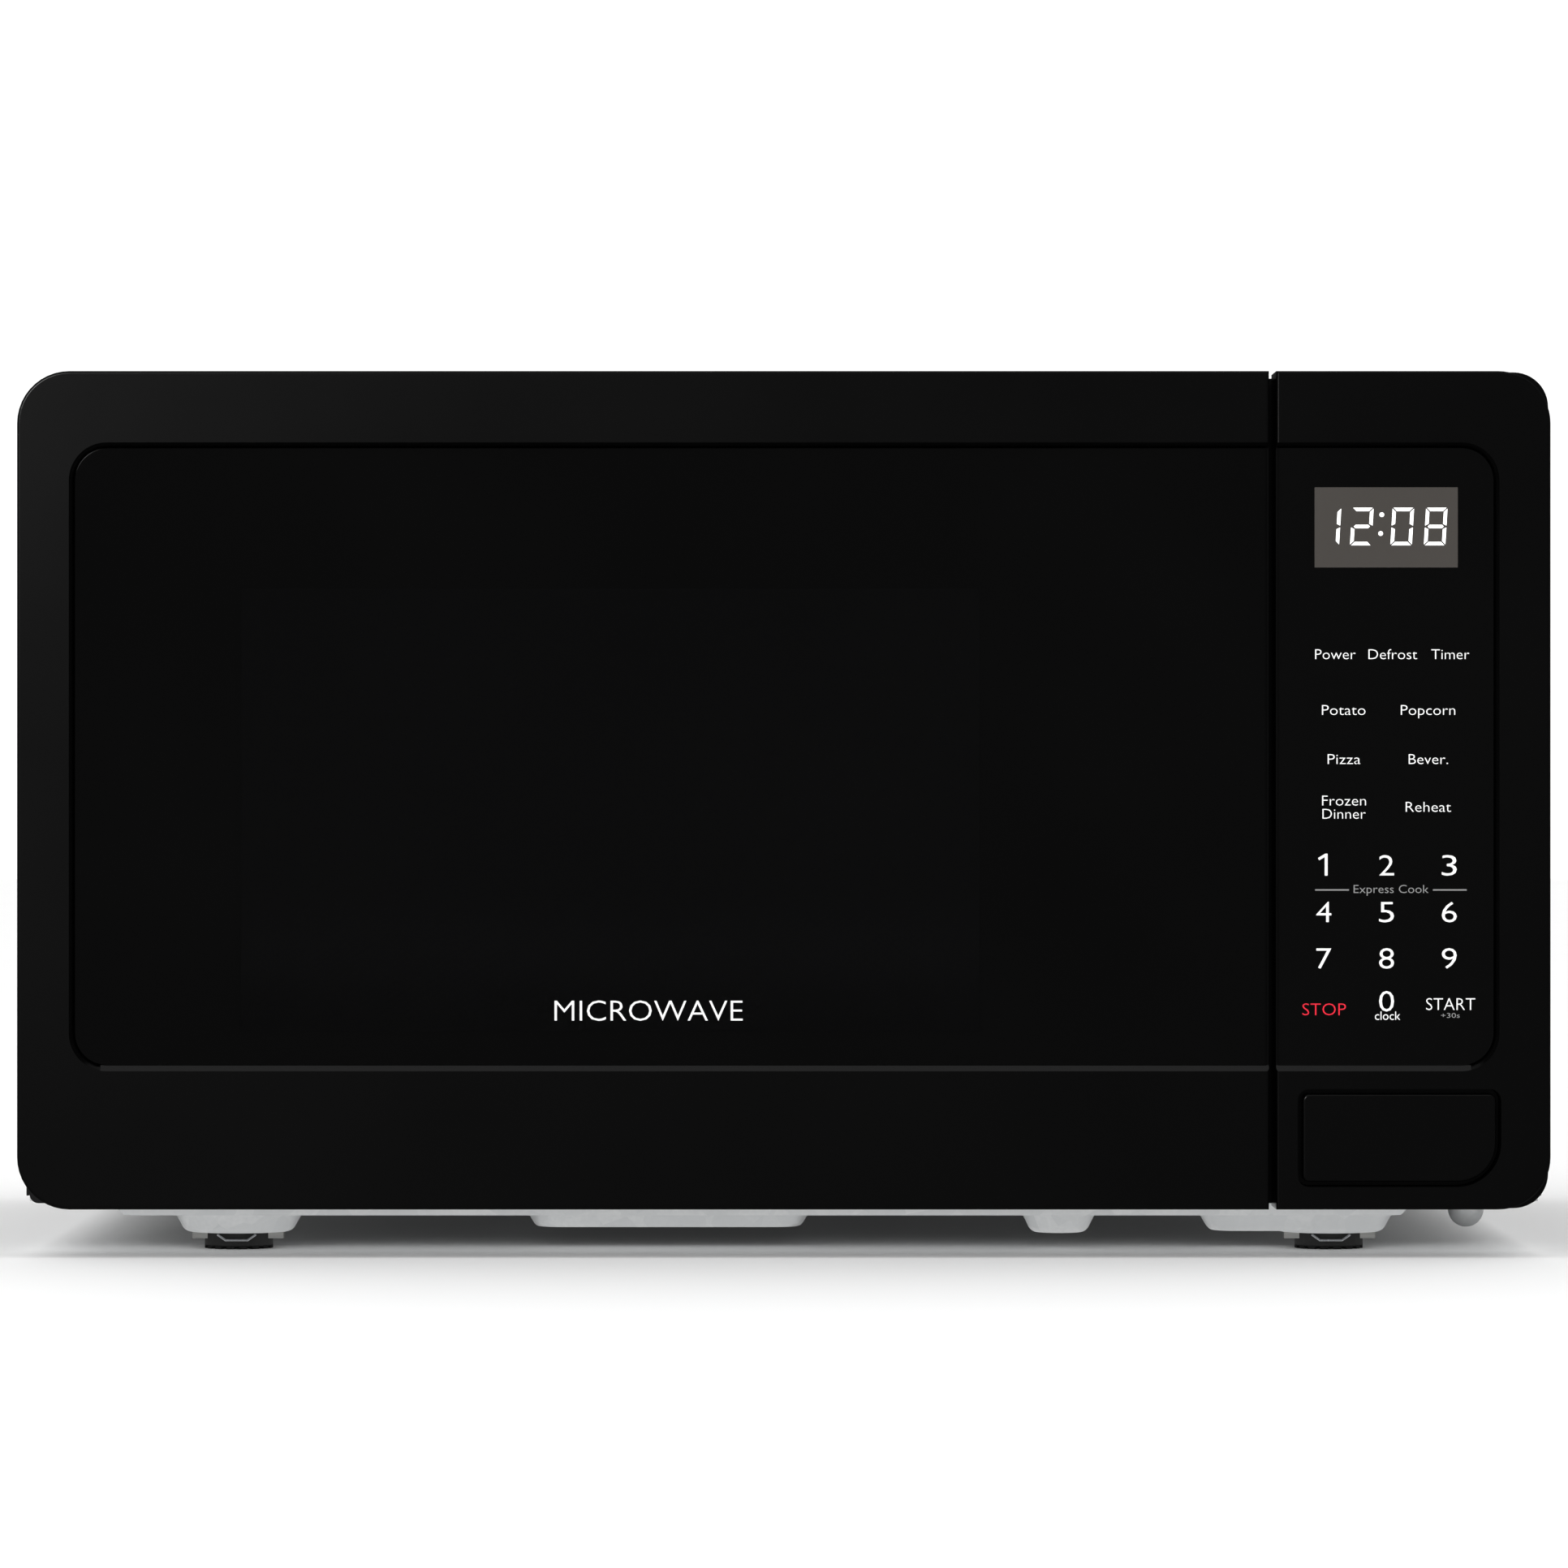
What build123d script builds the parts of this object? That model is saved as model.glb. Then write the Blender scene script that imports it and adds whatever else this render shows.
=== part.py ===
"""Countertop microwave oven with a side-hung door, a push button that opens it, and a turntable.

Lengths are in millimetres. +Z is up, the front faces -Y, and the origin is on the worktop under
the middle of the oven.
"""

import os

from build123d import *

# Overall size and the front face
WIDTH = 440.0
HEIGHT = 254.6
DEPTH = 345.0
LEFT = -WIDTH / 2
RIGHT = WIDTH / 2
FRONT = -DEPTH / 2
BACK = DEPTH / 2
FACE_Z = (14.0, HEIGHT)
DOOR_X = (LEFT, 139.2)
PANEL_X = (141.3, RIGHT)
DOOR_DEPTH = 22.0
PANEL_DEPTH = 24.0
CORNER = 15.0
WALL = 2.5
SHEET = 0.8
THIN = 0.6

# Sunk glossy field shared by the door glass and the touch overlay
BEZEL_DEPTH = 1.4
GROOVE_DEPTH = 2.4
SLOPE_X = (-196.1, 197.2)
BEZEL_X = (-205.1, 205.3)
BEZEL_Z = (53.7, 234.1)
BEZEL_CORNER = 10.9
GLASS_Z = (55.4, 232.5)
GLASS_CORNER = 9.3
DOOR_GLASS_X = (-203.5, 138.4)
OVERLAY_X = (142.0, 203.7)
DOOR_GLASS_BACK = FRONT + 4.4
OVERLAY_BACK = FRONT + 2.9
DISPLAY_X = (152.3, 193.5)
DISPLAY_Z = (198.2, 221.3)

# Body of the oven, front to back
PLATE_FRONT = FRONT + PANEL_DEPTH
PLATE_BACK = PLATE_FRONT + SHEET
CASE_X = (-219.5, 219.5)
CASE_Z = (16.8, 253.6)
CASE_BACK = 169.2
CASE_SHEET = 0.7
CASE_BEND = 10.0
LINER_BEND = CASE_BEND - 1.0
FLANGE = 12.0
INNER_X = (-218.6, 218.6)
REAR_Y = (167.7, 168.5)
CAVITY_X = (-197.0, 109.0)
CAVITY_Y = (PLATE_BACK, 142.3)
CAVITY_Z = (30.0, 234.0)
CAVITY_SHEET = 0.7

# Door hinge pins and latch
HINGE = (-212.0, FRONT + 14.0)
HINGE_PIN = 3.0
HINGE_EYE = 4.0
RUNNING_GAP = 0.05
LOWER_ARM_Z = (17.0, 19.0)
UPPER_ARM_Z = (249.2, 251.0)
DOOR_SWING = 100
HOOK_X = (127.5, 130.5)
HOOK_LEVELS = (72.0, 176.0)
HOOK_LIP = 3.0
HOOK_TALL = 10.0
SLOT_X = (125.4, 133.2)
CATCH_GAP = 0.3

# Turntable
TURN = (-44.0, -2.7)
TRACK_Z = 27.0
ROLLER = 7.0
ROLLER_GAP = 0.2
ROLLER_REACH = (80.0, 88.0)
AXLE = 2.0
AXLE_Z = TRACK_Z + ROLLER_GAP + ROLLER
TRAY_Z = AXLE_Z + ROLLER + ROLLER_GAP
TRAY_RADIUS = 122.5

# Feet
FOOT_X = 160.0
FOOT_Y = (FRONT + 55.0, 120.0)
FOOT_TOP = 4.85
FOOT_RADIUS = 10.0
FOOT_PLACES = [(x, y, 0) for x in (-FOOT_X, FOOT_X) for y in FOOT_Y]

# Cooling fan and cord inlet
FAN = (160.0, 165.0)
CORD = (188.0, 38.0)
CORD_RADIUS = 3.9


def middle(pair):
    return (pair[0] + pair[1]) / 2


def span(pair):
    return pair[1] - pair[0]


def grow(pair, amount):
    return (pair[0] - amount, pair[1] + amount)


def upright(y):
    """Upright sketch plane at depth y, seen from the front: sketch x is X and sketch y is Z."""
    return Plane.XZ.offset(-y)


def block(x, y, z, mode=Mode.ADD):
    """Box between three (low, high) ranges."""
    with Locations((middle(x), middle(y), middle(z))):
        Box(span(x), span(y), span(z), mode=mode)


def slab(x, y, z, radius, mode=Mode.ADD):
    """Upright box whose four corners are rounded as seen from the front."""
    with BuildSketch(upright(y[0])) as outline:
        with Locations((middle(x), middle(z))):
            RectangleRounded(span(x), span(z), radius)
    extrude(outline.sketch, amount=-span(y), mode=mode)


def rod(start, end, radius, mode=Mode.ADD):
    """Round bar between two points."""
    along = Vector(*end) - Vector(*start)
    with Locations(Plane(origin=start, z_dir=along)):
        Cylinder(radius, along.length, align=(Align.CENTER, Align.CENTER, Align.MIN), mode=mode)


def pressing(x, y, top, bottom, slope, corner, mode=Mode.ADD):
    """Sheet bump pressed downwards, with sloping sides."""
    with BuildSketch(Plane.XY.offset(top)) as mouth:
        with Locations((middle(x), middle(y))):
            RectangleRounded(span(x) + 2 * slope, span(y) + 2 * slope, corner + slope)
    with BuildSketch(Plane.XY.offset(bottom)) as foot:
        with Locations((middle(x), middle(y))):
            RectangleRounded(span(x), span(y), corner)
    loft([mouth.sketch, foot.sketch], mode=mode)


def coil(start, along, length, radius, wire, pitch):
    """Round-wire compression spring."""
    with BuildPart() as spring:
        with BuildLine() as path:
            Helix(pitch, length, radius, center=start, direction=along)
        with BuildSketch(Plane(origin=path.line @ 0, z_dir=path.line % 0)):
            Circle(wire)
        sweep()
    return spring


def field_edge(depth):
    """Cutter for the sunk field, whose edge slopes down to a depth."""
    with BuildPart() as cutter:
        with BuildSketch(upright(FRONT)) as mouth:
            with Locations((middle(BEZEL_X), middle(BEZEL_Z))):
                RectangleRounded(span(BEZEL_X), span(BEZEL_Z), BEZEL_CORNER)
        with BuildSketch(upright(FRONT + depth)) as floor:
            with Locations((middle(BEZEL_X), middle(GLASS_Z))):
                field_width = OVERLAY_X[1] - DOOR_GLASS_X[0]
                RectangleRounded(field_width, span(GLASS_Z), GLASS_CORNER)
        loft([mouth.sketch, floor.sketch])
    return cutter.part


def inset_bevel():
    """Cutter for the sunk field: a steep groove round it, and a gentle slope along its foot."""
    groove = field_edge(GROOVE_DEPTH)
    slope = field_edge(BEZEL_DEPTH)
    with BuildPart() as cutter:
        add(groove)
        block(SLOPE_X, (FRONT, FRONT + GROOVE_DEPTH), (BEZEL_Z[0], GLASS_Z[0]), Mode.SUBTRACT)
        add(slope)
    return cutter.part


def side_outline(x, z, corner, pick):
    """Upright rectangle whose left (pick 0) or right (pick -1) corners are rounded."""
    with BuildSketch() as outline:
        with Locations((middle(x), middle(z))):
            Rectangle(span(x), span(z))
        fillet(outline.vertices().group_by(Axis.X)[pick], corner)
    return outline.sketch


def liner_outline(x, z, top_corner, foot_corner):
    """Upright rectangle with one radius at its top corners and another at its foot."""
    with BuildSketch() as outline:
        with Locations((middle(x), middle(z))):
            Rectangle(span(x), span(z))
        fillet(outline.vertices().group_by(Axis.Y)[-1], top_corner)
        fillet(outline.vertices().group_by(Axis.Y)[0], foot_corner)
    return outline.sketch


def push_outline(x, z, corner, large_corner):
    """Rectangle with one large corner at the lower right."""
    with BuildSketch() as outline:
        with Locations((middle(x), middle(z))):
            Rectangle(span(x), span(z))
        corners = sorted(outline.vertices(), key=lambda point: point.Y - point.X)
        fillet(corners[0], large_corner)
        corners = sorted(outline.vertices(), key=lambda point: point.Y - point.X)
        fillet(corners[2:], corner)
    return outline.sketch


def raise_outline(outline, y, mode=Mode.ADD):
    """Extrudes a flat outline between two depths."""
    extrude(upright(y[0]) * outline, amount=-span(y), mode=mode)


def hinge_arm(gap):
    """Plan of a hinge arm about its pin, grown by a gap."""
    with BuildSketch() as arm:
        Circle(HINGE_EYE + gap)
        with Locations((8.7, 11.5)):
            Rectangle(9.5 + 2 * gap, 3.0)
        make_hull()
    return arm.sketch


# Door: frame moulding, with notches for the hinge arms and bores for the pins
POCKET_X = (-206.5, DOOR_X[1] - WALL)
POCKET_Z = (16.6, 252.0)
DOOR_BACK = FRONT + DOOR_DEPTH
LEDGE_BACK = FRONT + 6.4
WINDOW_X = (-159.6, 59.9)
WINDOW_Z = (63.1, 194.2)
REAR_ROUND = 6.0
bevel = inset_bevel()
with BuildPart() as door_frame:
    raise_outline(side_outline(DOOR_X, FACE_Z, CORNER, 0), (FRONT, DOOR_BACK))
    fillet(door_frame.faces().sort_by(Axis.Y)[0].edges(), 0.8)
    add(bevel, mode=Mode.SUBTRACT)
    glass_seat = side_outline(
        (DOOR_GLASS_X[0] - 0.1, DOOR_GLASS_X[1] + 0.1), grow(GLASS_Z, 0.1), GLASS_CORNER, 0
    )
    raise_outline(glass_seat, (FRONT, DOOR_GLASS_BACK), mode=Mode.SUBTRACT)
    block(POCKET_X, (LEDGE_BACK, DOOR_BACK), POCKET_Z, mode=Mode.SUBTRACT)
    block(POCKET_X, (FRONT + WALL, LEDGE_BACK), (POCKET_Z[0], 51.5), mode=Mode.SUBTRACT)
    block(POCKET_X, (FRONT + WALL, LEDGE_BACK), (236.5, POCKET_Z[1]), mode=Mode.SUBTRACT)
    slab(WINDOW_X, (FRONT, LEDGE_BACK), WINDOW_Z, 4.0, mode=Mode.SUBTRACT)
    with BuildSketch() as rear_corner:
        with Locations((LEFT + REAR_ROUND / 2, DOOR_BACK - REAR_ROUND / 2)):
            Rectangle(REAR_ROUND, REAR_ROUND)
        with Locations((LEFT + REAR_ROUND, DOOR_BACK - REAR_ROUND)):
            Circle(REAR_ROUND, mode=Mode.SUBTRACT)
    extrude(rear_corner.sketch, amount=HEIGHT, mode=Mode.SUBTRACT)
    for arm_z in (LOWER_ARM_Z, UPPER_ARM_Z):
        with BuildSketch(Plane.XY.offset(arm_z[0] - 0.4)) as notch:
            for angle in range(0, DOOR_SWING + 5, 20):
                with Locations(Location((*HINGE, 0), (0, 0, angle))):
                    add(hinge_arm(0.5))
        extrude(notch.sketch, amount=span(arm_z) + 0.8, mode=Mode.SUBTRACT)
    for bore_z in ((LOWER_ARM_Z[0], 28.0), (240.5, UPPER_ARM_Z[1])):
        rod((*HINGE, bore_z[0]), (*HINGE, bore_z[1]), HINGE_PIN + RUNNING_GAP, mode=Mode.SUBTRACT)
    block((124.5, 133.5), (LEDGE_BACK, FRONT + 15.0), (222.0, 224.5))
    for guide_z in (90.0, 160.0):
        block((132.0, 134.0), (LEDGE_BACK, FRONT + 14.0), (guide_z, guide_z + 4.0))

with BuildPart() as door_glass:
    glass = side_outline(DOOR_GLASS_X, GLASS_Z, GLASS_CORNER, 0)
    raise_outline(glass, (FRONT + BEZEL_DEPTH, DOOR_GLASS_BACK))
    fillet(door_glass.faces().sort_by(Axis.Y)[0].edges(), 0.15)

# Door: steel plate with its choke channel, the perforated screen and the inner covers
CHOKE_X = (-206.0, 124.0)
CHOKE_Z = (20.5, 248.0)
CENTRE_X = (-187.0, 99.0)
CENTRE_Z = (38.0, 226.0)
CENTRE_BACK = FRONT + 20.2
with BuildPart() as door_plate:
    block(CHOKE_X, (LEDGE_BACK, CENTRE_BACK), CHOKE_Z)
    channel = (LEDGE_BACK + THIN, CENTRE_BACK)
    block(grow(CHOKE_X, -THIN), channel, grow(CHOKE_Z, -THIN), mode=Mode.SUBTRACT)
    tooth_y = (FRONT + 10.0, CENTRE_BACK)
    for column in range(15):
        slot_x = CHOKE_X[0] + 22.0 + 20.0 * column
        block((slot_x, slot_x + 4.0), tooth_y, grow(CHOKE_Z, 0.1), mode=Mode.SUBTRACT)
    block(CENTRE_X, (LEDGE_BACK, CENTRE_BACK), CENTRE_Z)
    dish = (LEDGE_BACK, CENTRE_BACK - THIN)
    block(grow(CENTRE_X, -THIN), dish, grow(CENTRE_Z, -THIN), mode=Mode.SUBTRACT)
    block((-156.0, 55.5), (dish[1], CENTRE_BACK), (66.0, 191.0), mode=Mode.SUBTRACT)

with BuildPart() as door_screen:
    block((-160.0, 60.4), (CENTRE_BACK - 1.1, CENTRE_BACK - THIN), (61.0, 196.3))

with BuildPart() as choke_cover:
    block((-206.0, 136.2), (CENTRE_BACK, DOOR_BACK), (20.0, 248.6))
    slab((-184.0, 96.0), (CENTRE_BACK, DOOR_BACK), (41.0, 223.0), 6.0, mode=Mode.SUBTRACT)
    fillet(choke_cover.faces().sort_by(Axis.Y)[-1].edges(), 0.6)
    for level in HOOK_LEVELS:
        block(SLOT_X, (CENTRE_BACK, DOOR_BACK), (level - 4.5, level + 14.5), mode=Mode.SUBTRACT)

with BuildPart() as inner_window:
    slab((-183.5, 95.5), (CENTRE_BACK, CENTRE_BACK + 0.8), (41.5, 222.5), 5.8)

# Door latch: one hook bar with two hooks, pushed down by a spring
BAR_Y = (FRONT + 8.0, FRONT + 14.0)
BAR_Z = (62.0, 206.0)
HOOK_TIP = -127.0
with BuildPart() as latch_hooks:
    block((126.5, 131.5), BAR_Y, BAR_Z)
    for level in HOOK_LEVELS:
        with BuildSketch(Plane.YZ.offset(HOOK_X[0])) as profile:
            with BuildLine():
                Polyline(
                    (BAR_Y[0], level),
                    (HOOK_TIP - 6.0, level),
                    (HOOK_TIP - 5.0, level - HOOK_LIP),
                    (HOOK_TIP - 1.5, level - HOOK_LIP),
                    (HOOK_TIP, level - HOOK_LIP + 1.5),
                    (HOOK_TIP, level + HOOK_TALL),
                    (BAR_Y[0], level + HOOK_TALL),
                    close=True,
                )
            make_face()
        extrude(profile.sketch, amount=span(HOOK_X))

hook_spring = coil((129.0, middle(BAR_Y), BAR_Z[1] + 0.6), (0, 0, 1), 14.8, 2.4, 0.4, 2.9)

# Door opening button and the panel that carries it
BUTTON_X = (148.9, 204.3)
BUTTON_Z = (22.0, 47.1)
BUTTON_GAP = 1.5
BUTTON_BACK = FRONT + 12.0
STEM_X = (149.6, 156.6)
STEM_Z = (31.0, 36.0)
STEM_END = -143.6
PANEL_BACK = FRONT + PANEL_DEPTH
with BuildPart() as control_panel:
    raise_outline(side_outline(PANEL_X, FACE_Z, CORNER, -1), (FRONT, FRONT + 8.0))
    fillet(control_panel.faces().sort_by(Axis.Y)[0].edges(), 0.8)
    raise_outline(side_outline(PANEL_X, FACE_Z, 10.0, -1), (FRONT + 8.0, PANEL_BACK))
    add(bevel, mode=Mode.SUBTRACT)
    overlay_seat = side_outline(
        (OVERLAY_X[0] - 0.1, OVERLAY_X[1] + 0.1), grow(GLASS_Z, 0.1), GLASS_CORNER, -1
    )
    raise_outline(overlay_seat, (FRONT, OVERLAY_BACK), mode=Mode.SUBTRACT)
    upper = side_outline((PANEL_X[0] + WALL, RIGHT - WALL), (52.0, 252.1), 12.0, -1)
    raise_outline(upper, (OVERLAY_BACK + 2.0, PANEL_BACK), mode=Mode.SUBTRACT)
    lower = side_outline((PANEL_X[0] + WALL, RIGHT - WALL), (16.5, 62.0), 12.0, -1)
    raise_outline(lower, (OVERLAY_BACK + 2.0, PANEL_BACK), mode=Mode.SUBTRACT)
    display_hole = (grow(DISPLAY_X, -0.8), grow(DISPLAY_Z, -0.8))
    block(display_hole[0], (FRONT, FRONT + 6.0), display_hole[1], mode=Mode.SUBTRACT)
    tunnel = push_outline(grow(BUTTON_X, 3.3), grow(BUTTON_Z, 3.3), 5.1, 14.4)
    raise_outline(tunnel, (FRONT + 2.0, FRONT + 20.0))
    opening = push_outline(grow(BUTTON_X, BUTTON_GAP), grow(BUTTON_Z, BUTTON_GAP), 3.3, 12.6)
    raise_outline(opening, (FRONT, FRONT + 20.0), mode=Mode.SUBTRACT)
    for post_x, post_z in ((151.0, 66.0), (205.0, 66.0), (151.0, 234.0), (205.0, 234.0)):
        rod((post_x, OVERLAY_BACK + 1.0, post_z), (post_x, FRONT + 10.5, post_z), 2.5)

with BuildPart() as touch_overlay:
    overlay = side_outline(OVERLAY_X, GLASS_Z, GLASS_CORNER, -1)
    raise_outline(overlay, (FRONT + BEZEL_DEPTH, OVERLAY_BACK))
    block(DISPLAY_X, (FRONT, FRONT + 6.0), DISPLAY_Z, mode=Mode.SUBTRACT)

with BuildPart() as display_window:
    window_y = (FRONT + BEZEL_DEPTH, OVERLAY_BACK)
    block(grow(DISPLAY_X, -0.05), window_y, grow(DISPLAY_Z, -0.05))

with BuildPart() as control_board:
    board_y = (FRONT + 10.5, FRONT + 12.1)
    block((147.5, 208.5), board_y, (63.0, 237.0))
    block(grow(DISPLAY_X, -1.1), (OVERLAY_BACK, board_y[0]), grow(DISPLAY_Z, -1.1))
    block((152.0, 178.0), (board_y[1], board_y[1] + 9.0), (72.0, 96.0))
    for relay_z in (108.0, 132.0, 156.0):
        block((153.0, 171.0), (board_y[1], board_y[1] + 8.5), (relay_z, relay_z + 18.0))
    for can_z in (112.0, 126.0, 140.0):
        rod((192.0, board_y[1], can_z), (192.0, board_y[1] + 9.0, can_z), 4.0)

with BuildPart() as open_button:
    cap = push_outline(BUTTON_X, BUTTON_Z, 1.8, 11.1)
    raise_outline(cap, (FRONT, BUTTON_BACK))
    fillet(open_button.faces().sort_by(Axis.Y)[0].edges(), 0.7)
    guide = push_outline(grow(BUTTON_X, 1.3), grow(BUTTON_Z, 1.3), 3.1, 12.4)
    raise_outline(guide, (FRONT + 8.0, BUTTON_BACK))
    hollow = push_outline(grow(BUTTON_X, -2.0), grow(BUTTON_Z, -2.0), 1.5, 9.1)
    raise_outline(hollow, (FRONT + 2.2, BUTTON_BACK), mode=Mode.SUBTRACT)
    block(STEM_X, (FRONT + 2.0, STEM_END), STEM_Z)

SPRING_AT = (180.0, FRONT + 2.8, 34.5)
button_spring = coil(SPRING_AT, (0, 1, 0), 20.5, 4.0, 0.45, 3.4)

# Front plate of the cooking chamber
MOUTH_X = (-195.0, 107.0)
MOUTH_Z = (32.0, 232.0)
ARM_SLOT_X = (-210.8, -197.9)
TAB_X = (-211.5, -198.5)
TAB_Y = (PLATE_BACK, PLATE_BACK + 2.0)
RIVET_X = -205.0
RIVET = 1.8
LOWER_RIVETS = (28.0, 38.0)
UPPER_RIVETS = (230.0, 240.0)
plate_y = (PLATE_FRONT, PLATE_BACK)
with BuildPart() as front_plate:
    raise_outline(liner_outline(INNER_X, (14.6, 252.7), LINER_BEND, 2.6), plate_y)
    slab(MOUTH_X, plate_y, MOUTH_Z, 8.0, mode=Mode.SUBTRACT)
    slab((150.0, 206.0), plate_y, (70.0, 225.0), 6.0, mode=Mode.SUBTRACT)
    block(grow(STEM_X, 1.5), plate_y, grow(STEM_Z, 1.5), mode=Mode.SUBTRACT)
    for level in HOOK_LEVELS:
        block(SLOT_X, plate_y, (level - 4.5, level + 14.5), mode=Mode.SUBTRACT)
    for arm_z in (LOWER_ARM_Z, UPPER_ARM_Z):
        block(ARM_SLOT_X, plate_y, grow(arm_z, 0.4), mode=Mode.SUBTRACT)
    for rivet_z in LOWER_RIVETS + UPPER_RIVETS:
        start = (RIVET_X, PLATE_FRONT, rivet_z)
        rod(start, (RIVET_X, PLATE_BACK, rivet_z), RIVET + 0.1, Mode.SUBTRACT)


# Hinges: an arm with its pin, and a tab behind the front plate held by two rivets
def hinge(arm_z, tab_z, pin_z, rivets):
    """Hinge bracket: the arm reaches through the front plate to the pin."""
    with BuildPart() as bracket:
        with BuildSketch(Plane.XY.offset(arm_z[0])) as arm:
            with Locations(HINGE):
                add(hinge_arm(0.0))
        extrude(arm.sketch, amount=span(arm_z))
        block(TAB_X, TAB_Y, tab_z)
        rod((*HINGE, pin_z[0]), (*HINGE, pin_z[1]), HINGE_PIN)
        for rivet_z in rivets:
            start = (RIVET_X, TAB_Y[0], rivet_z)
            rod(start, (RIVET_X, TAB_Y[1], rivet_z), RIVET + 0.1, Mode.SUBTRACT)
    return bracket


hinge_lower = hinge(LOWER_ARM_Z, (LOWER_ARM_Z[0], 45.0), (LOWER_ARM_Z[0], 27.5), LOWER_RIVETS)
hinge_upper = hinge(UPPER_ARM_Z, (223.6, UPPER_ARM_Z[1]), (241.0, UPPER_ARM_Z[1]), UPPER_RIVETS)

with BuildPart() as hinge_rivets:
    for rivet_z in LOWER_RIVETS + UPPER_RIVETS:
        start = (RIVET_X, PLATE_FRONT, rivet_z)
        rod(start, (RIVET_X, TAB_Y[1] + 1.0, rivet_z), RIVET)
        rod((RIVET_X, TAB_Y[1], rivet_z), (RIVET_X, TAB_Y[1] + 1.6, rivet_z), 3.4)

# Cooking chamber: wrap, floor and back
WAVE_Y = (12.0, 68.0)
WAVE_Z = (132.0, 178.0)
LAMP = (-62.0, 208.0)
with BuildPart() as cavity_wrap:
    outer_x = grow(CAVITY_X, CAVITY_SHEET)
    block(outer_x, CAVITY_Y, (24.0, CAVITY_Z[1] + CAVITY_SHEET))
    block(CAVITY_X, CAVITY_Y, (24.0, CAVITY_Z[1]), mode=Mode.SUBTRACT)
    block((CAVITY_X[1], outer_x[1]), WAVE_Y, WAVE_Z, mode=Mode.SUBTRACT)
    for across in (-10.0, -5.0, 0.0, 5.0, 10.0):
        for rise in (-10.0, -5.0, 0.0, 5.0, 10.0):
            place = (LAMP[0] + across, LAMP[1] + rise)
            rod((CAVITY_X[1] - 1, *place), (outer_x[1] + 1, *place), 1.25, Mode.SUBTRACT)
    for across in range(6):
        for rise in range(4):
            place = (90.0 + 7.0 * across, 190.0 + 7.0 * rise)
            rod((CAVITY_X[0] + 1, *place), (outer_x[0] - 1, *place), 1.8, Mode.SUBTRACT)

RECESS = 104.0
with BuildPart() as cavity_floor:
    block(grow(CAVITY_X, -0.1), grow(CAVITY_Y, -0.1), (CAVITY_Z[0] - CAVITY_SHEET, CAVITY_Z[0]))
    low = TRACK_Z - CAVITY_SHEET
    standing = (Align.CENTER, Align.CENTER, Align.MIN)
    with Locations((*TURN, low)):
        Cone(RECESS - 3.0, RECESS, CAVITY_Z[0] - low, align=standing)
    with Locations((*TURN, TRACK_Z)):
        hollow_depth = CAVITY_Z[0] - TRACK_Z
        Cone(RECESS - 4.0, RECESS - 1.0, hollow_depth, align=standing, mode=Mode.SUBTRACT)
    rod((*TURN, 20.0), (*TURN, 32.0), 5.5, Mode.SUBTRACT)

with BuildPart() as cavity_back:
    back_y = (CAVITY_Y[1], CAVITY_Y[1] + CAVITY_SHEET)
    block(grow(CAVITY_X, 2.5), back_y, (24.5, 239.0))

with BuildPart() as waveguide_cover:
    block((CAVITY_X[1] - 0.5, CAVITY_X[1]), grow(WAVE_Y, 9.0), grow(WAVE_Z, 7.0))

# Turntable: motor, coupler, roller ring and glass tray
MOTOR_Z = (10.3, TRACK_Z - CAVITY_SHEET)
with BuildPart() as turntable_motor:
    rod((*TURN, MOTOR_Z[0]), (*TURN, MOTOR_Z[1] - 1.0), 24.5)
    ear_z = (MOTOR_Z[1] - 1.0, MOTOR_Z[1])
    block(grow((TURN[0], TURN[0]), 31.0), grow((TURN[1], TURN[1]), 6.0), ear_z)
    rod((*TURN, 13.5), (*TURN, 28.0), HINGE_PIN + RUNNING_GAP, Mode.SUBTRACT)

ARM_ANGLES = (90, 210, 330)
with BuildPart() as drive_coupler:
    rod((*TURN, 14.0), (*TURN, 30.0), HINGE_PIN)
    rod((*TURN, 27.5), (*TURN, 31.0), 9.0)
    rod((*TURN, 30.0), (*TURN, 39.5), 4.0)
    for angle in ARM_ANGLES:
        with Locations(Location((*TURN, 35.0), (0, 0, angle))):
            Box(14.0, 5.0, 9.0, align=(Align.MIN, Align.CENTER, Align.CENTER))

with BuildPart() as glass_tray:
    with BuildSketch(Plane(origin=(*TURN, 0), x_dir=(1, 0, 0), z_dir=(0, -1, 0))) as profile:
        with BuildLine():
            Polyline(
                (0, TRAY_Z),
                (100.0, TRAY_Z),
                (117.0, TRAY_Z + 5.0),
                (TRAY_RADIUS, TRAY_Z + 12.0),
                (TRAY_RADIUS - 3.0, TRAY_Z + 13.0),
                (115.0, TRAY_Z + 8.2),
                (99.0, TRAY_Z + 4.0),
                (0, TRAY_Z + 4.0),
                close=True,
            )
        make_face()
    revolve(profile.sketch, Axis((*TURN, 0), (0, 0, 1)))
    for angle in ARM_ANGLES:
        with Locations(Location((*TURN, TRAY_Z - 2.0), (0, 0, angle + 60))):
            with Locations((11.5, 0, 0)):
                Box(7.0, 5.0, 5.0)


def spoke(angle, reach):
    """Point on a radial axle of the roller ring."""
    point = Vector(reach, 0, 0).rotate(Axis.Z, angle)
    return (TURN[0] + point.X, TURN[1] + point.Y, AXLE_Z)


def roller(angle):
    """Wheel on one radial axle of the roller ring."""
    start = spoke(angle, ROLLER_REACH[0])
    end = spoke(angle, ROLLER_REACH[1])
    with BuildPart() as wheel:
        rod(start, end, ROLLER)
        fillet(wheel.edges().filter_by(GeomType.CIRCLE), 1.0)
        rod(start, end, AXLE + RUNNING_GAP, Mode.SUBTRACT)
    return wheel


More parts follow.
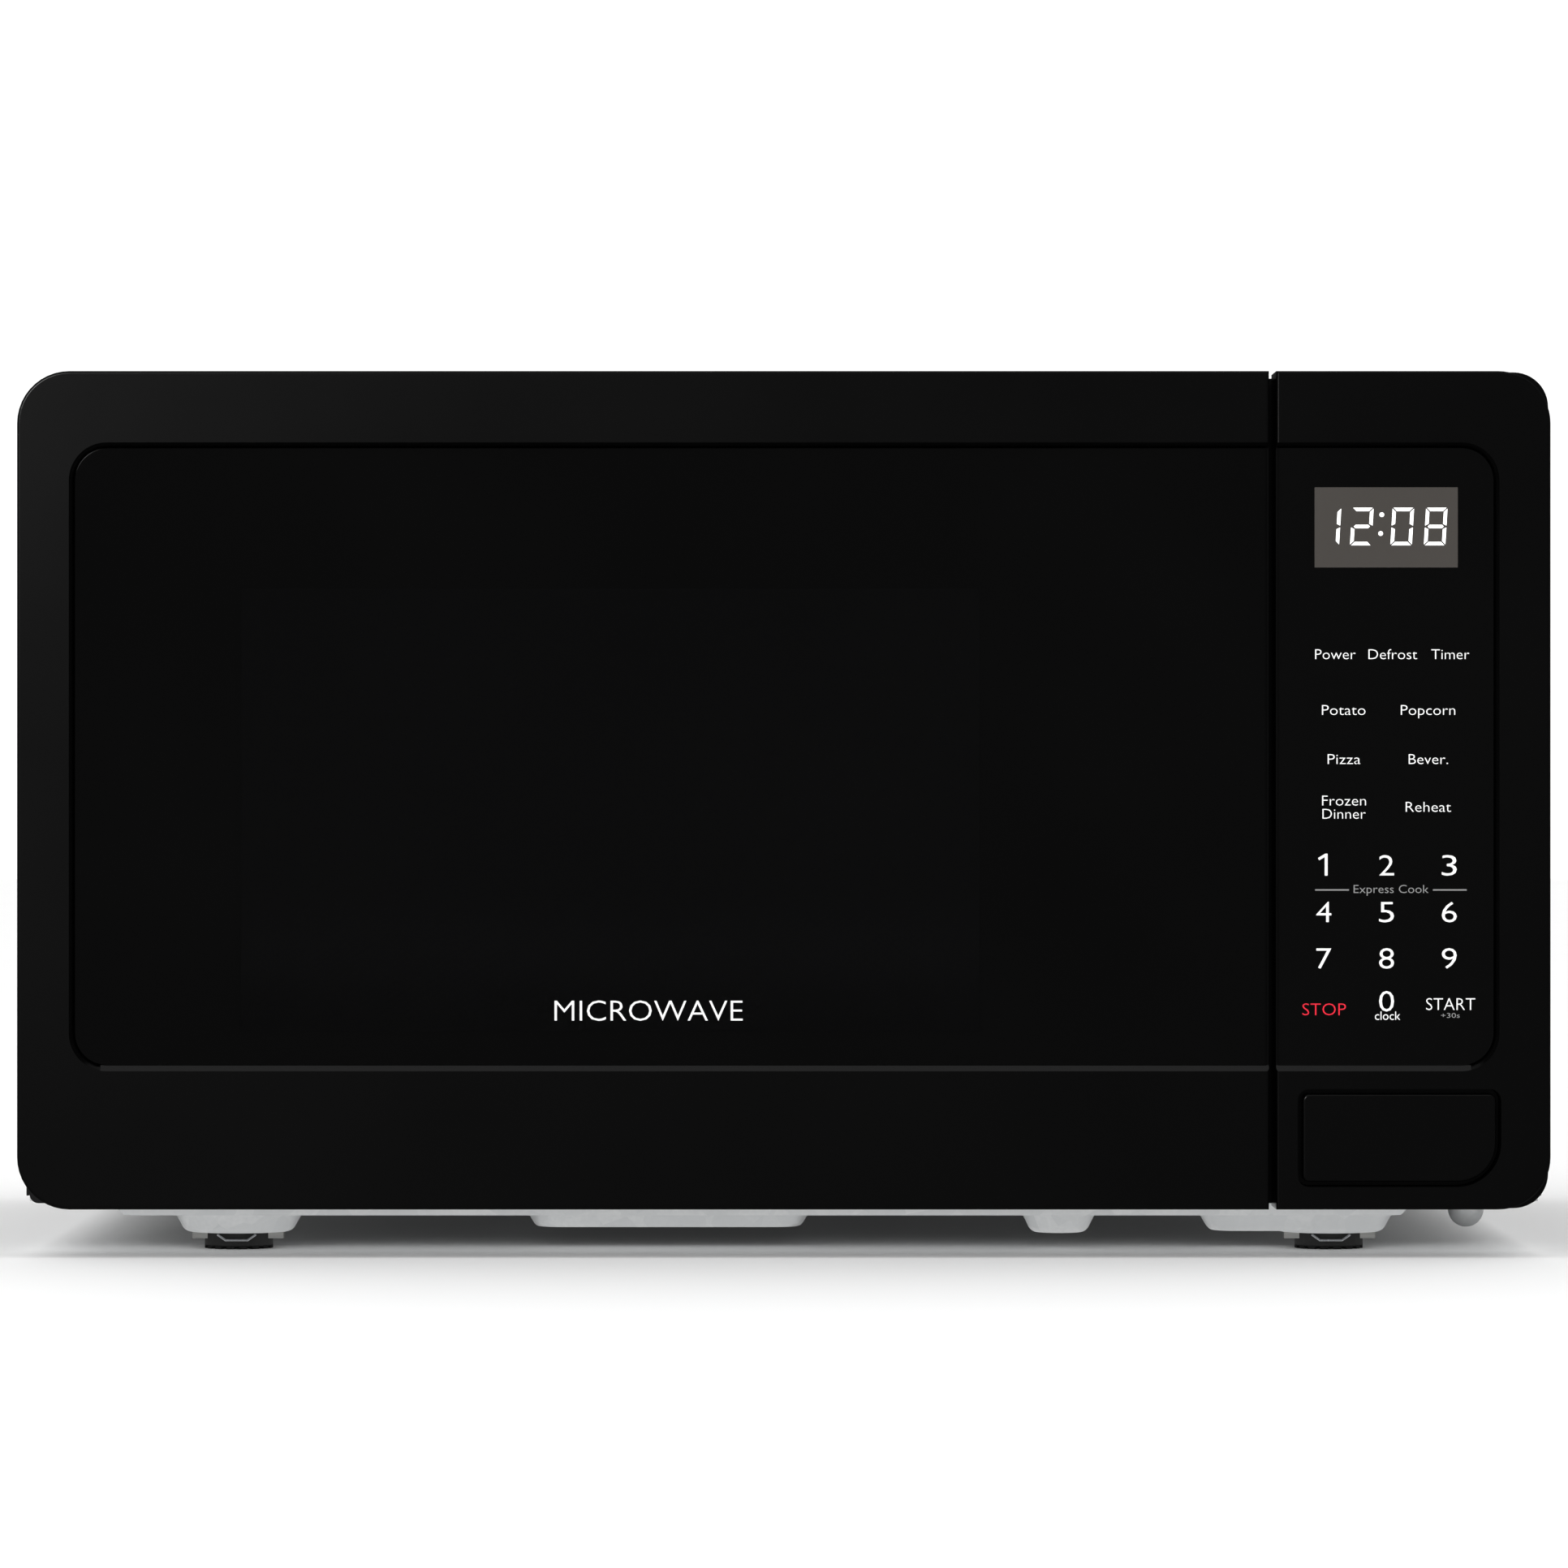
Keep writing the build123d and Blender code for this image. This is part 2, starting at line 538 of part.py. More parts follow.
RING_RADIUS = (68.0, 76.0)
RING_Z = (31.5, 36.5)
with BuildPart() as roller_ring:
    rod((*TURN, RING_Z[0]), (*TURN, RING_Z[1]), RING_RADIUS[1])
    rod((*TURN, RING_Z[0]), (*TURN, RING_Z[1]), RING_RADIUS[0], Mode.SUBTRACT)
    for angle in ARM_ANGLES:
        rod(spoke(angle, 72.0), spoke(angle, 90.2), AXLE)
        rod(spoke(angle, 74.0), spoke(angle, 79.7), 3.2)
        rod(spoke(angle, 88.3), spoke(angle, 90.2), 2.9)

roller_1 = roller(ARM_ANGLES[0])
roller_2 = roller(ARM_ANGLES[1])
roller_3 = roller(ARM_ANGLES[2])

# Base plate: raised rim, low middle and pressed bumps for the feet and the motor
RIM = 15.2
LOW = 10.7
TRAY_X = (-192.5, 180.0)
SUMP = 5.9
SUMP_X = (-73.0, 5.0)
SUMP_Y = (-117.5, 70.0)
FOOT_BUMP = (15.7, 19.0)
SIDE_BUMP = 5.7
SIDE_BUMP_X = (124.5, 158.0)
SIDE_BUMP_Y = (-134.0, -108.0)
PIN_BUMP = (202.6, -90.0)
PIN_BUMP_RADIUS = 5.3
PIN_BUMP_ROUND_Z = 9.9
PIN_RAMP_X = (186.0, 200.0)
PIN_RAMP_Y = (-94.0, -86.0)
BUMP_ROUND = 3.0
DIMPLE = (80.5, FRONT + 50.0)
DIMPLE_RADIUS = (8.0, 11.0)
BASE_Y = (PLATE_BACK, REAR_Y[0])
FLANGE_TOP = 23.5


def round_bump(place, radius, lift):
    """Filled round bump of the base plate, with its lower edge rounded."""
    low_corner = (Align.CENTER, Align.CENTER, Align.MIN)
    with BuildPart() as bump:
        with Locations((*place, FOOT_TOP + lift)):
            Cone(radius[0] - lift, radius[1] - lift, LOW - FOOT_TOP, align=low_corner)
        fillet(bump.edges().filter_by(GeomType.CIRCLE).sort_by(Axis.Z)[0], BUMP_ROUND - lift)
    return bump.part


def long_bump(x, y, top, bottom, lift):
    """Filled long bump of the base plate, with its lower edge rounded."""
    with BuildPart() as bump:
        pressing(grow(x, -lift), grow(y, -lift), top + lift, bottom + lift, 3.0, 8.0)
        fillet(bump.faces().sort_by(Axis.Z)[0].edges(), 2.0 - lift)
    return bump.part


def base_form(lift):
    """Filled shape of the base plate, raised and drawn in by the sheet thickness."""
    bumps = [round_bump(place[:2], FOOT_BUMP, lift) for place in FOOT_PLACES]
    bumps.append(round_bump(DIMPLE, DIMPLE_RADIUS, lift))
    bumps.append(long_bump(SUMP_X, SUMP_Y, LOW, SUMP, lift))
    bumps.append(long_bump(SIDE_BUMP_X, SIDE_BUMP_Y, LOW, SIDE_BUMP, lift))
    with BuildPart() as form:
        block(grow(INNER_X, -lift), grow(BASE_Y, -lift), (RIM + lift, FLANGE_TOP))
        middle_y = (BASE_Y[0] + 6.0 + lift, BASE_Y[1] - 8.0 - lift)
        pressing(grow(TRAY_X, -lift), middle_y, RIM + lift, LOW + lift, 4.5, 6.0)
        for bump in bumps:
            add(bump)
        round_end = (*PIN_BUMP, PIN_BUMP_ROUND_Z)
        with Locations(round_end):
            Sphere(PIN_BUMP_RADIUS - lift)
        rod(round_end, (*PIN_BUMP, FLANGE_TOP - 1.0), PIN_BUMP_RADIUS - lift)
        ramp_y = grow(PIN_RAMP_Y, -lift)
        with BuildSketch(upright(ramp_y[0])) as ramp:
            low_x = PIN_BUMP[0] - PIN_BUMP_RADIUS + lift
            Polygon(
                (PIN_RAMP_X[0] + lift, RIM + lift + 1.0),
                (PIN_RAMP_X[0] + lift, RIM + lift),
                (low_x, PIN_BUMP_ROUND_Z + lift),
                (PIN_RAMP_X[1], PIN_BUMP_ROUND_Z + lift),
                (PIN_RAMP_X[1], RIM + lift + 1.0),
                align=None,
            )
        extrude(ramp.sketch, amount=-span(ramp_y))
    return form.part


base_outside = base_form(0.0)
base_inside = base_form(SHEET)
with BuildPart() as base_plate:
    add(base_outside)
    add(base_inside, mode=Mode.SUBTRACT)
    brim = (FLANGE_TOP - 1.0, FLANGE_TOP + 1.0)
    block(grow(INNER_X, -SHEET), grow(BASE_Y, -SHEET), brim, mode=Mode.SUBTRACT)
    block((-213.0, -196.0), (PLATE_BACK, PLATE_BACK + 4.0), (RIM, FLANGE_TOP), mode=Mode.SUBTRACT)
    for place in FOOT_PLACES:
        with Locations(place):
            Cylinder(3.3, 30.0, mode=Mode.SUBTRACT)
    for row in range(5):
        vent_y = 60.0 + 10.0 * row
        block((-120.0, -90.0), (vent_y, vent_y + 3.0), (LOW - 1.0, LOW + 2.0), mode=Mode.SUBTRACT)

# Feet with their straps and wires
STRAP_Z = (2.95, FOOT_TOP)
STRAP_REACH = 13.35
WIRE = 0.35
WIRE_Z = (2.35 + WIRE, 4.2)
with BuildPart() as feet:
    for foot_x, foot_y, ground in FOOT_PLACES:
        rod((foot_x, foot_y, ground), (foot_x, foot_y, FOOT_TOP), FOOT_RADIUS)
        rod((foot_x, foot_y, FOOT_TOP), (foot_x, foot_y, FOOT_TOP + 4.0), 3.0)
        rod((foot_x, foot_y, FOOT_TOP + SHEET + 0.1), (foot_x, foot_y, FOOT_TOP + 3.0), 4.4)
        across = (foot_x - FOOT_RADIUS, foot_x + FOOT_RADIUS)
        block(across, (foot_y - 4.6, foot_y + 4.6), (STRAP_Z[0] - 0.05, FOOT_TOP), Mode.SUBTRACT)
        for side in (-1, 1):
            hole = (foot_x + side * 5.4, foot_y - 6.0, WIRE_Z[1])
            rod((hole[0], foot_y - 12.0, hole[2]), hole, WIRE + 0.05, Mode.SUBTRACT)
        rod((foot_x, foot_y, STRAP_Z[0] - 0.05), (foot_x, foot_y, FOOT_TOP), 3.0)
        with Locations((foot_x, foot_y, 0)):
            with PolarLocations(FOOT_RADIUS - 1.5, 16):
                Box(4.0, 1.6, 1.4, mode=Mode.SUBTRACT)

with BuildPart() as foot_straps:
    for foot_x, foot_y, ground in FOOT_PLACES:
        strap_x = (foot_x - STRAP_REACH, foot_x + STRAP_REACH)
        block(strap_x, (foot_y - 4.5, foot_y + 4.5), STRAP_Z)
        rod((foot_x, foot_y, 0), (foot_x, foot_y, FOOT_TOP), 3.1, Mode.SUBTRACT)


def foot_wire(foot_x, foot_y):
    """Bent wire whose ends sit in the foot and whose middle lies across its front."""
    face = foot_y - FOOT_RADIUS - WIRE
    path = Polyline(
        (foot_x - 5.4, foot_y - 6.5, WIRE_Z[1]),
        (foot_x - 5.4, face, WIRE_Z[1]),
        (foot_x - 3.2, face, WIRE_Z[0]),
        (foot_x + 3.2, face, WIRE_Z[0]),
        (foot_x + 5.4, face, WIRE_Z[1]),
        (foot_x + 5.4, foot_y - 6.5, WIRE_Z[1]),
    )
    with BuildPart() as wire:
        with BuildSketch(Plane(origin=path @ 0, z_dir=path % 0)) as section:
            Circle(WIRE)
        sweep(section.sketch, path=path, transition=Transition.RIGHT)
    return wire.part


front_wires = [foot_wire(foot_x, FOOT_Y[0]) for foot_x in (-FOOT_X, FOOT_X)]
with BuildPart() as foot_wires:
    for wire in front_wires:
        add(wire)

# Outer case and rear panel
CASE_SCREWS = [(-150.0, 247.6), (0.0, 247.6), (150.0, 247.6)]
CASE_SCREWS += [(side * 213.0, z) for side in (-1, 1) for z in (60.0, 180.0)]
SCREW = 1.9
with BuildPart() as outer_case:
    case_y = (PLATE_FRONT, CASE_BACK)
    block(CASE_X, case_y, CASE_Z)
    top_edges = outer_case.edges().filter_by(Axis.Y).group_by(Axis.Z)[-1]
    fillet(top_edges, CASE_BEND)
    open_faces = outer_case.faces().sort_by(Axis.Z)[:1] + outer_case.faces().sort_by(Axis.Y)[:1]
    offset(amount=-CASE_SHEET, openings=open_faces)
    window_z = (CASE_Z[0] - 1.0, CASE_Z[1] - FLANGE)
    block(grow(CASE_X, -FLANGE), (REAR_Y[0], BACK), window_z, mode=Mode.SUBTRACT)
    for place_x, place_z in CASE_SCREWS:
        start = (place_x, REAR_Y[0], place_z)
        rod(start, (place_x, CASE_BACK + 1.0, place_z), SCREW + 0.2, Mode.SUBTRACT)

BULGE_X = (118.0, 198.0)
BULGE_Z = (124.0, 222.0)


def rear_form(lift):
    """Filled shape of the rear panel with its bulge over the fan."""
    with BuildPart() as form:
        sheet_x = grow(INNER_X, -lift)
        sheet_z = grow((17.0, 252.7), -lift)
        outline = liner_outline(sheet_x, sheet_z, LINER_BEND - lift, 2.6)
        raise_outline(outline, (150.0, REAR_Y[1] - lift))
        with BuildSketch(upright(REAR_Y[1] - lift)) as mouth:
            with Locations((middle(BULGE_X), middle(BULGE_Z))):
                RectangleRounded(span(BULGE_X) + 6.0 - 2 * lift, span(BULGE_Z) + 6.0 - 2 * lift, 11.0)
        with BuildSketch(upright(BACK - lift)) as crown:
            with Locations((middle(BULGE_X), middle(BULGE_Z))):
                RectangleRounded(span(BULGE_X) - 2 * lift, span(BULGE_Z) - 2 * lift, 8.0)
        loft([mouth.sketch, crown.sketch])
    return form.part


rear_outside = rear_form(0.0)
rear_inside = rear_form(SHEET)
with BuildPart() as rear_panel:
    add(rear_outside)
    add(rear_inside, mode=Mode.SUBTRACT)
    block(grow(INNER_X, 1.0), (149.0, REAR_Y[0]), (16.0, 254.0), mode=Mode.SUBTRACT)
    for column in range(8):
        for row in range(5):
            vent_x = BULGE_X[0] + 6.0 + 9.0 * column
            vent_z = BULGE_Z[0] + 6.0 + 18.0 * row
            vent = (vent_z, vent_z + 13.0)
            block((vent_x, vent_x + 3.0), (REAR_Y[1], BACK + 1.0), vent, mode=Mode.SUBTRACT)
    for column in range(8):
        vent_x = -190.0 + 9.0 * column
        block((vent_x, vent_x + 3.0), (REAR_Y[0], REAR_Y[1]), (190.0, 222.0), mode=Mode.SUBTRACT)
    rod((CORD[0], 160.0, CORD[1]), (CORD[0], BACK, CORD[1]), 7.2, Mode.SUBTRACT)
    for place_x, place_z in CASE_SCREWS:
        start = (place_x, 160.0, place_z)
        rod(start, (place_x, BACK, place_z), SCREW + 0.1, Mode.SUBTRACT)

with BuildPart() as case_screws:
    for place_x, place_z in CASE_SCREWS:
        rod((place_x, 161.0, place_z), (place_x, CASE_BACK + 1.0, place_z), SCREW)
        rod((place_x, CASE_BACK, place_z), (place_x, CASE_BACK + 2.2, place_z), 3.9)

BUSHING_Y = (163.5, 171.5)
with BuildPart() as cord_bushing:
    rod((CORD[0], BUSHING_Y[0], CORD[1]), (CORD[0], BUSHING_Y[1], CORD[1]), 7.0)
    rod((CORD[0], REAR_Y[1], CORD[1]), (CORD[0], BUSHING_Y[1], CORD[1]), 9.5)
    rod((CORD[0], BUSHING_Y[0], CORD[1]), (CORD[0], REAR_Y[0], CORD[1]), 8.6)
    rod((CORD[0], 150.0, CORD[1]), (CORD[0], BACK, CORD[1]), CORD_RADIUS, Mode.SUBTRACT)

# Latch board, door switches and the lever that lifts the hooks
PIVOT = (-142.0, 58.0)
PIVOT_RADIUS = 2.0
CATCH_TOP = -HOOK_LIP - CATCH_GAP
BOARD_SIDE = (138.5, 141.0)
with BuildPart() as latch_board:
    board_z = (50.0, 205.0)
    block((119.0, BOARD_SIDE[1]), (PLATE_BACK, PLATE_BACK + 2.5), board_z)
    block(BOARD_SIDE, (PLATE_BACK, -136.0), board_z)
    for level in HOOK_LEVELS:
        catch = (level + CATCH_TOP - 6.0, level + CATCH_TOP)
        window = (catch[1], level + 14.5)
        block((122.0, 136.0), (PLATE_BACK, PLATE_BACK + 2.5), window, mode=Mode.SUBTRACT)
        block((122.0, 136.0), (PLATE_BACK, HOOK_TIP - 7.6), catch)
    rod((BOARD_SIDE[0], *PIVOT), (148.5, *PIVOT), PIVOT_RADIUS)

SWITCH_Y = (-124.2, -108.3)
SWITCH_X = (118.6, 146.4)
PLUNGER_X = 129.0
PLUNGER = 1.3
SWITCH_TALL = 10.3
PRIMARY_Z = HOOK_LEVELS[1] + 3.5
MONITOR_Z = HOOK_LEVELS[0] - 1.4
SECOND_Z = MONITOR_Z + SWITCH_TALL + 0.1
SWITCH_LEVELS = (PRIMARY_Z, SECOND_Z, MONITOR_Z)
with BuildPart() as door_switches:
    for level in SWITCH_LEVELS:
        block(SWITCH_X, SWITCH_Y, grow((level, level), SWITCH_TALL / 2))
        hole = (PLUNGER_X, SWITCH_Y[0] + 6.0, level)
        rod((PLUNGER_X, SWITCH_Y[0] - 1.0, level), hole, PLUNGER + RUNNING_GAP, Mode.SUBTRACT)
        for tag_x in (121.0, 130.0, 143.0):
            tag = (tag_x, tag_x + 0.8)
            block(tag, (SWITCH_Y[1], SWITCH_Y[1] + 6.0), grow((level, level), 2.4))


def plunger(level):
    """Door switch plunger, standing out towards the hook."""
    with BuildPart() as pin:
        start = (PLUNGER_X, HOOK_TIP + 0.4, level)
        rod(start, (PLUNGER_X, SWITCH_Y[0] + 4.5, level), PLUNGER)
    return pin


primary_plunger = plunger(PRIMARY_Z)
secondary_plunger = plunger(SECOND_Z)
monitor_plunger = plunger(MONITOR_Z)

LEVER_X = (142.0, 146.0)
LIFT_Y = (-131.4, -127.4)
LIFT_TOP = HOOK_LEVELS[0] - HOOK_LIP - CATCH_GAP
with BuildPart() as release_lever:
    rod((LEVER_X[0], *PIVOT), (LEVER_X[1], *PIVOT), 5.0)
    block(LEVER_X, (-144.0, -140.0), (31.0, PIVOT[1]))
    block((LEVER_X[0], 157.5), (STEM_END + 0.2, STEM_END + 3.4), (31.5, 36.0))
    block(LEVER_X, (-142.0, LIFT_Y[1]), (PIVOT[1], LIFT_TOP))
    block((127.0, LEVER_X[1]), LIFT_Y, (LIFT_TOP - 3.0, LIFT_TOP))
    rod((LEVER_X[0] - 1.0, *PIVOT), (LEVER_X[1] + 1.0, *PIVOT), 2.05, Mode.SUBTRACT)

# Lamp, waveguide and magnetron on the right wall of the chamber
BAY_X = CAVITY_X[1] + CAVITY_SHEET
LAMP_AXIS = (BAY_X + 14.0, 208.0)
with BuildPart() as oven_lamp:
    block((BAY_X, BAY_X + 2.0), (-96.0, -40.0), (190.0, 226.0))
    block((BAY_X, BAY_X + 2.0), (-76.0, -46.0), (194.0, 222.0), mode=Mode.SUBTRACT)
    block((BAY_X, BAY_X + 28.0), (-96.0, -84.0), (194.0, 222.0))
    rod((LAMP_AXIS[0], -84.0, LAMP_AXIS[1]), (LAMP_AXIS[0], -78.0, LAMP_AXIS[1]), 7.0)
    rod((LAMP_AXIS[0], -78.0, LAMP_AXIS[1]), (LAMP_AXIS[0], -56.0, LAMP_AXIS[1]), 10.0)
    fillet(oven_lamp.faces().sort_by(Axis.Y)[-1].edges(), 0.5)

GUIDE_X = (BAY_X, 138.0)
GUIDE_Y = (-4.0, 84.0)
GUIDE_Z = (122.0, 188.0)
ANTENNA = (40.0, 155.0)
with BuildPart() as waveguide:
    block(GUIDE_X, GUIDE_Y, GUIDE_Z)
    inside_x = (GUIDE_X[0], GUIDE_X[1] - SHEET)
    block(inside_x, grow(GUIDE_Y, -SHEET), grow(GUIDE_Z, -SHEET), mode=Mode.SUBTRACT)
    rod((GUIDE_X[1] - 2.0, *ANTENNA), (GUIDE_X[1] + 1.0, *ANTENNA), 13.0, Mode.SUBTRACT)

YOKE_X = (138.0, 190.0)
YOKE_Y = (-6.0, 86.0)
YOKE_Z = (117.0, 193.0)
YOKE_SHEET = 1.6
with BuildPart() as magnetron_yoke:
    block(YOKE_X, YOKE_Y, YOKE_Z)
    block(grow(YOKE_X, -YOKE_SHEET), grow(YOKE_Y, 1.0), grow(YOKE_Z, -YOKE_SHEET), mode=Mode.SUBTRACT)
    rod((YOKE_X[0] - 1.0, *ANTENNA), (YOKE_X[0] + 3.0, *ANTENNA), 13.0, Mode.SUBTRACT)
    rod((YOKE_X[1] - 3.0, *ANTENNA), (YOKE_X[1] + 1.0, *ANTENNA), 13.0, Mode.SUBTRACT)

MAGNETS = ((139.6, 151.6), (176.4, 188.4))
with BuildPart() as magnetron_magnets:
    for magnet in MAGNETS:
        rod((magnet[0], *ANTENNA), (magnet[1], *ANTENNA), 27.0)
        rod((magnet[0] - 1.0, *ANTENNA), (magnet[1] + 1.0, *ANTENNA), 13.0, Mode.SUBTRACT)

with BuildPart() as magnetron_anode:
    rod((MAGNETS[0][1], *ANTENNA), (MAGNETS[1][0], *ANTENNA), 20.0)
    rod((114.0, *ANTENNA), (MAGNETS[0][1], *ANTENNA), 7.0)
    rod((MAGNETS[1][0], *ANTENNA), (204.0, *ANTENNA), 9.0)

with BuildPart() as magnetron_fins:
    for fin in range(5):
        fin_x = 155.0 + 4.5 * fin
        block((fin_x, fin_x + THIN), (-2.0, 82.0), grow(YOKE_Z, -YOKE_SHEET))
        start = (fin_x - 1.0, *ANTENNA)
        rod(start, (fin_x + 2.0, *ANTENNA), 20.0 + RUNNING_GAP, Mode.SUBTRACT)

FILTER_X = (190.0, 212.0)
with BuildPart() as magnetron_filter_box:
    filter_y = (8.0, 72.0)
    filter_z = (125.0, 185.0)
    block(FILTER_X, filter_y, filter_z)
    block(grow(FILTER_X, -SHEET), grow(filter_y, -SHEET), grow(filter_z, -SHEET), mode=Mode.SUBTRACT)
    rod((FILTER_X[0] - 1.0, *ANTENNA), (FILTER_X[0] + 2.0, *ANTENNA), 13.0, Mode.SUBTRACT)
    block((196.0, 206.0), (0.0, 8.0), (140.0, 170.0))

# High-voltage transformer, capacitor and diode
CORE_X = (126.0, 172.0)
CORE_Y = (-20.0, 66.0)
CORE_Z = (13.5, 88.0)
WINDOWS_Y = ((-5.0, 8.0), (38.0, 51.0))
with BuildPart() as transformer_core:
    block(CORE_X, CORE_Y, CORE_Z)
    for window_y in WINDOWS_Y:
        block(grow(CORE_X, 1.0), window_y, (28.5, 73.0), mode=Mode.SUBTRACT)
    block((120.0, 178.0), (-32.0, 78.0), (LOW + SHEET, CORE_Z[0]))

with BuildPart() as transformer_windings:
    for winding_z in ((29.0, 50.0), (52.0, 72.5)):
        block((113.0, 185.0), (-4.7, 50.7), winding_z)
        block((125.7, 172.3), (7.7, 38.3), winding_z, mode=Mode.SUBTRACT)

CAN_X = (124.0, 159.0)
CAN_Y = (94.0, 120.0)
CAN_Z = (LOW + SHEET, 92.0)
with BuildPart() as capacitor:
    with BuildSketch(Plane.XY.offset(CAN_Z[0])) as can:
        with Locations((middle(CAN_X), middle(CAN_Y))):
            SlotOverall(span(CAN_X) + 16.0, span(CAN_Y) + 8.0)
    extrude(can.sketch, amount=span(CAN_Z))
    for tag_x in (132.0, 150.0):
        block((tag_x, tag_x + 1.0), (104.0, 110.0), (CAN_Z[1], CAN_Z[1] + 8.0))

with BuildPart() as capacitor_clamp:
    with BuildSketch(Plane.XY.offset(46.0)) as band:
        with Locations((middle(CAN_X), middle(CAN_Y))):
            SlotOverall(span(CAN_X) + 17.6, span(CAN_Y) + 9.6)
            SlotOverall(span(CAN_X) + 16.0, span(CAN_Y) + 8.0, mode=Mode.SUBTRACT)
    extrude(band.sketch, amount=12.0)
    block((middle(CAN_X) - 6.0, middle(CAN_X) + 6.0), (124.0, 124.8), (LOW + SHEET, 58.0))
    block((middle(CAN_X) - 6.0, middle(CAN_X) + 6.0), (124.0, 136.0), (LOW + SHEET, LOW + 2 * SHEET))

with BuildPart() as diode:
    rod((151.0, 107.0, 98.5), (176.0, 107.0, 98.5), 0.6)
    rod((158.0, 107.0, 98.5), (172.0, 107.0, 98.5), 3.5)
    rod((176.0, 107.0, 98.5), (176.0, 107.0, LOW + SHEET), 0.6)

# Cooling fan, noise filter board and thermal cut-out
SHROUD_X = (112.0, 208.0)
SHROUD_Y = (126.0, REAR_Y[0])
SHROUD_Z = (112.0, 214.0)
SHAFT = 1.6
with BuildPart() as fan_shroud:
    block(SHROUD_X, SHROUD_Y, SHROUD_Z)
    block(grow(SHROUD_X, -2.0), (SHROUD_Y[0] + 2.0, BACK), grow(SHROUD_Z, -2.0), mode=Mode.SUBTRACT)
    rod((FAN[0], 120.0, FAN[1]), (FAN[0], 130.0, FAN[1]), 44.0, Mode.SUBTRACT)
    block((SHROUD_X[0] + 4.0, SHROUD_X[1] - 4.0), (122.0, 126.0), grow((FAN[1], FAN[1]), 8.0))
    rod((FAN[0], 120.0, FAN[1]), (FAN[0], 130.0, FAN[1]), 5.0, Mode.SUBTRACT)
    for post_x in (124.0, 172.0):
        for post_y in (133.0, 157.0):
            rod((post_x, post_y, SHROUD_Z[1] - 1.0), (post_x, post_y, 222.0), 2.5)

with BuildPart() as fan_motor:
    block(grow((FAN[0], FAN[0]), 28.0), (102.0, 118.0), grow((FAN[1], FAN[1]), 26.0))
    block(grow((FAN[0], FAN[0]), 13.0), (100.0, 122.0), grow((FAN[1] - 12.0, FAN[1] - 12.0), 12.0))
    rod((FAN[0], 98.0, FAN[1]), (FAN[0], 122.0, FAN[1]), 9.0)
    rod((FAN[0], 104.0, FAN[1]), (FAN[0], 124.0, FAN[1]), SHAFT + RUNNING_GAP, Mode.SUBTRACT)

with BuildPart() as fan_blade:
    rod((FAN[0], 106.0, FAN[1]), (FAN[0], 133.0, FAN[1]), SHAFT)
    rod((FAN[0], 131.0, FAN[1]), (FAN[0], 147.0, FAN[1]), 10.0)
    with Locations(Plane(origin=(FAN[0], 139.0, FAN[1]), z_dir=(0, 1, 0))):
        with PolarLocations(25.0, 5):
            with Locations(Location((0, 0, 0), (35, 0, 0))):
                Box(34.0, 20.0, 1.8)

with BuildPart() as filter_board:
    filter_board_y = (128.0, 162.0)
    block((118.0, 180.0), filter_board_y, (222.0, 223.6))
    block((122.0, 142.0), (132.0, 158.0), (223.6, 240.0))
    rod((160.0, 145.0, 223.6), (160.0, 145.0, 236.0), 11.0)

with BuildPart() as thermal_cutout:
    roof = CAVITY_Z[1] + CAVITY_SHEET
    rod((-44.0, 20.0, roof), (-44.0, 20.0, roof + 7.0), 8.0)
    block((-58.0, -30.0), (15.0, 25.0), (roof, roof + 0.8))

PIECES = {
    "outer_case": outer_case,
    "base_plate": base_plate,
    "rear_panel": rear_panel,
    "cord_bushing": cord_bushing,
    "case_screws": case_screws,
    "front_plate": front_plate,
    "cavity_wrap": cavity_wrap,
    "cavity_floor": cavity_floor,
    "cavity_back": cavity_back,
    "waveguide_cover": waveguide_cover,
    "waveguide": waveguide,
    "oven_lamp": oven_lamp,
    "turntable_motor": turntable_motor,
    "drive_coupler": drive_coupler,
    "glass_tray": glass_tray,
    "roller_ring": roller_ring,
    "roller_1": roller_1,
    "roller_2": roller_2,
    "roller_3": roller_3,
    "magnetron_yoke": magnetron_yoke,
    "magnetron_magnets": magnetron_magnets,
    "magnetron_fins": magnetron_fins,
    "magnetron_anode": magnetron_anode,
    "magnetron_filter_box": magnetron_filter_box,
    "transformer_core": transformer_core,
    "transformer_windings": transformer_windings,
    "capacitor": capacitor,
    "capacitor_clamp": capacitor_clamp,
    "diode": diode,
    "fan_shroud": fan_shroud,
    "fan_motor": fan_motor,
    "fan_blade": fan_blade,
    "filter_board": filter_board,
    "thermal_cutout": thermal_cutout,
    "control_panel": control_panel,
    "touch_overlay": touch_overlay,
    "display_window": display_window,
    "control_board": control_board,
    "latch_board": latch_board,
    "door_switches": door_switches,
    "primary_plunger": primary_plunger,
    "secondary_plunger": secondary_plunger,
    "monitor_plunger": monitor_plunger,
    "release_lever": release_lever,
    "open_button": open_button,
    "button_spring": button_spring,
    "latch_hooks": latch_hooks,
    "hook_spring": hook_spring,
    "hinge_lower": hinge_lower,
    "hinge_upper": hinge_upper,
    "hinge_rivets": hinge_rivets,
    "feet": feet,
    "foot_straps": foot_straps,
    "foot_wires": foot_wires,
    "door_frame": door_frame,
    "door_glass": door_glass,
    "door_plate": door_plate,
    "door_screen": door_screen,
    "choke_cover": choke_cover,
    "inner_window": inner_window,
}

os.makedirs("parts", exist_ok=True)
for name, piece in PIECES.items():
    piece.part.label = name
    export_step(piece.part, f"parts/{name}.step")
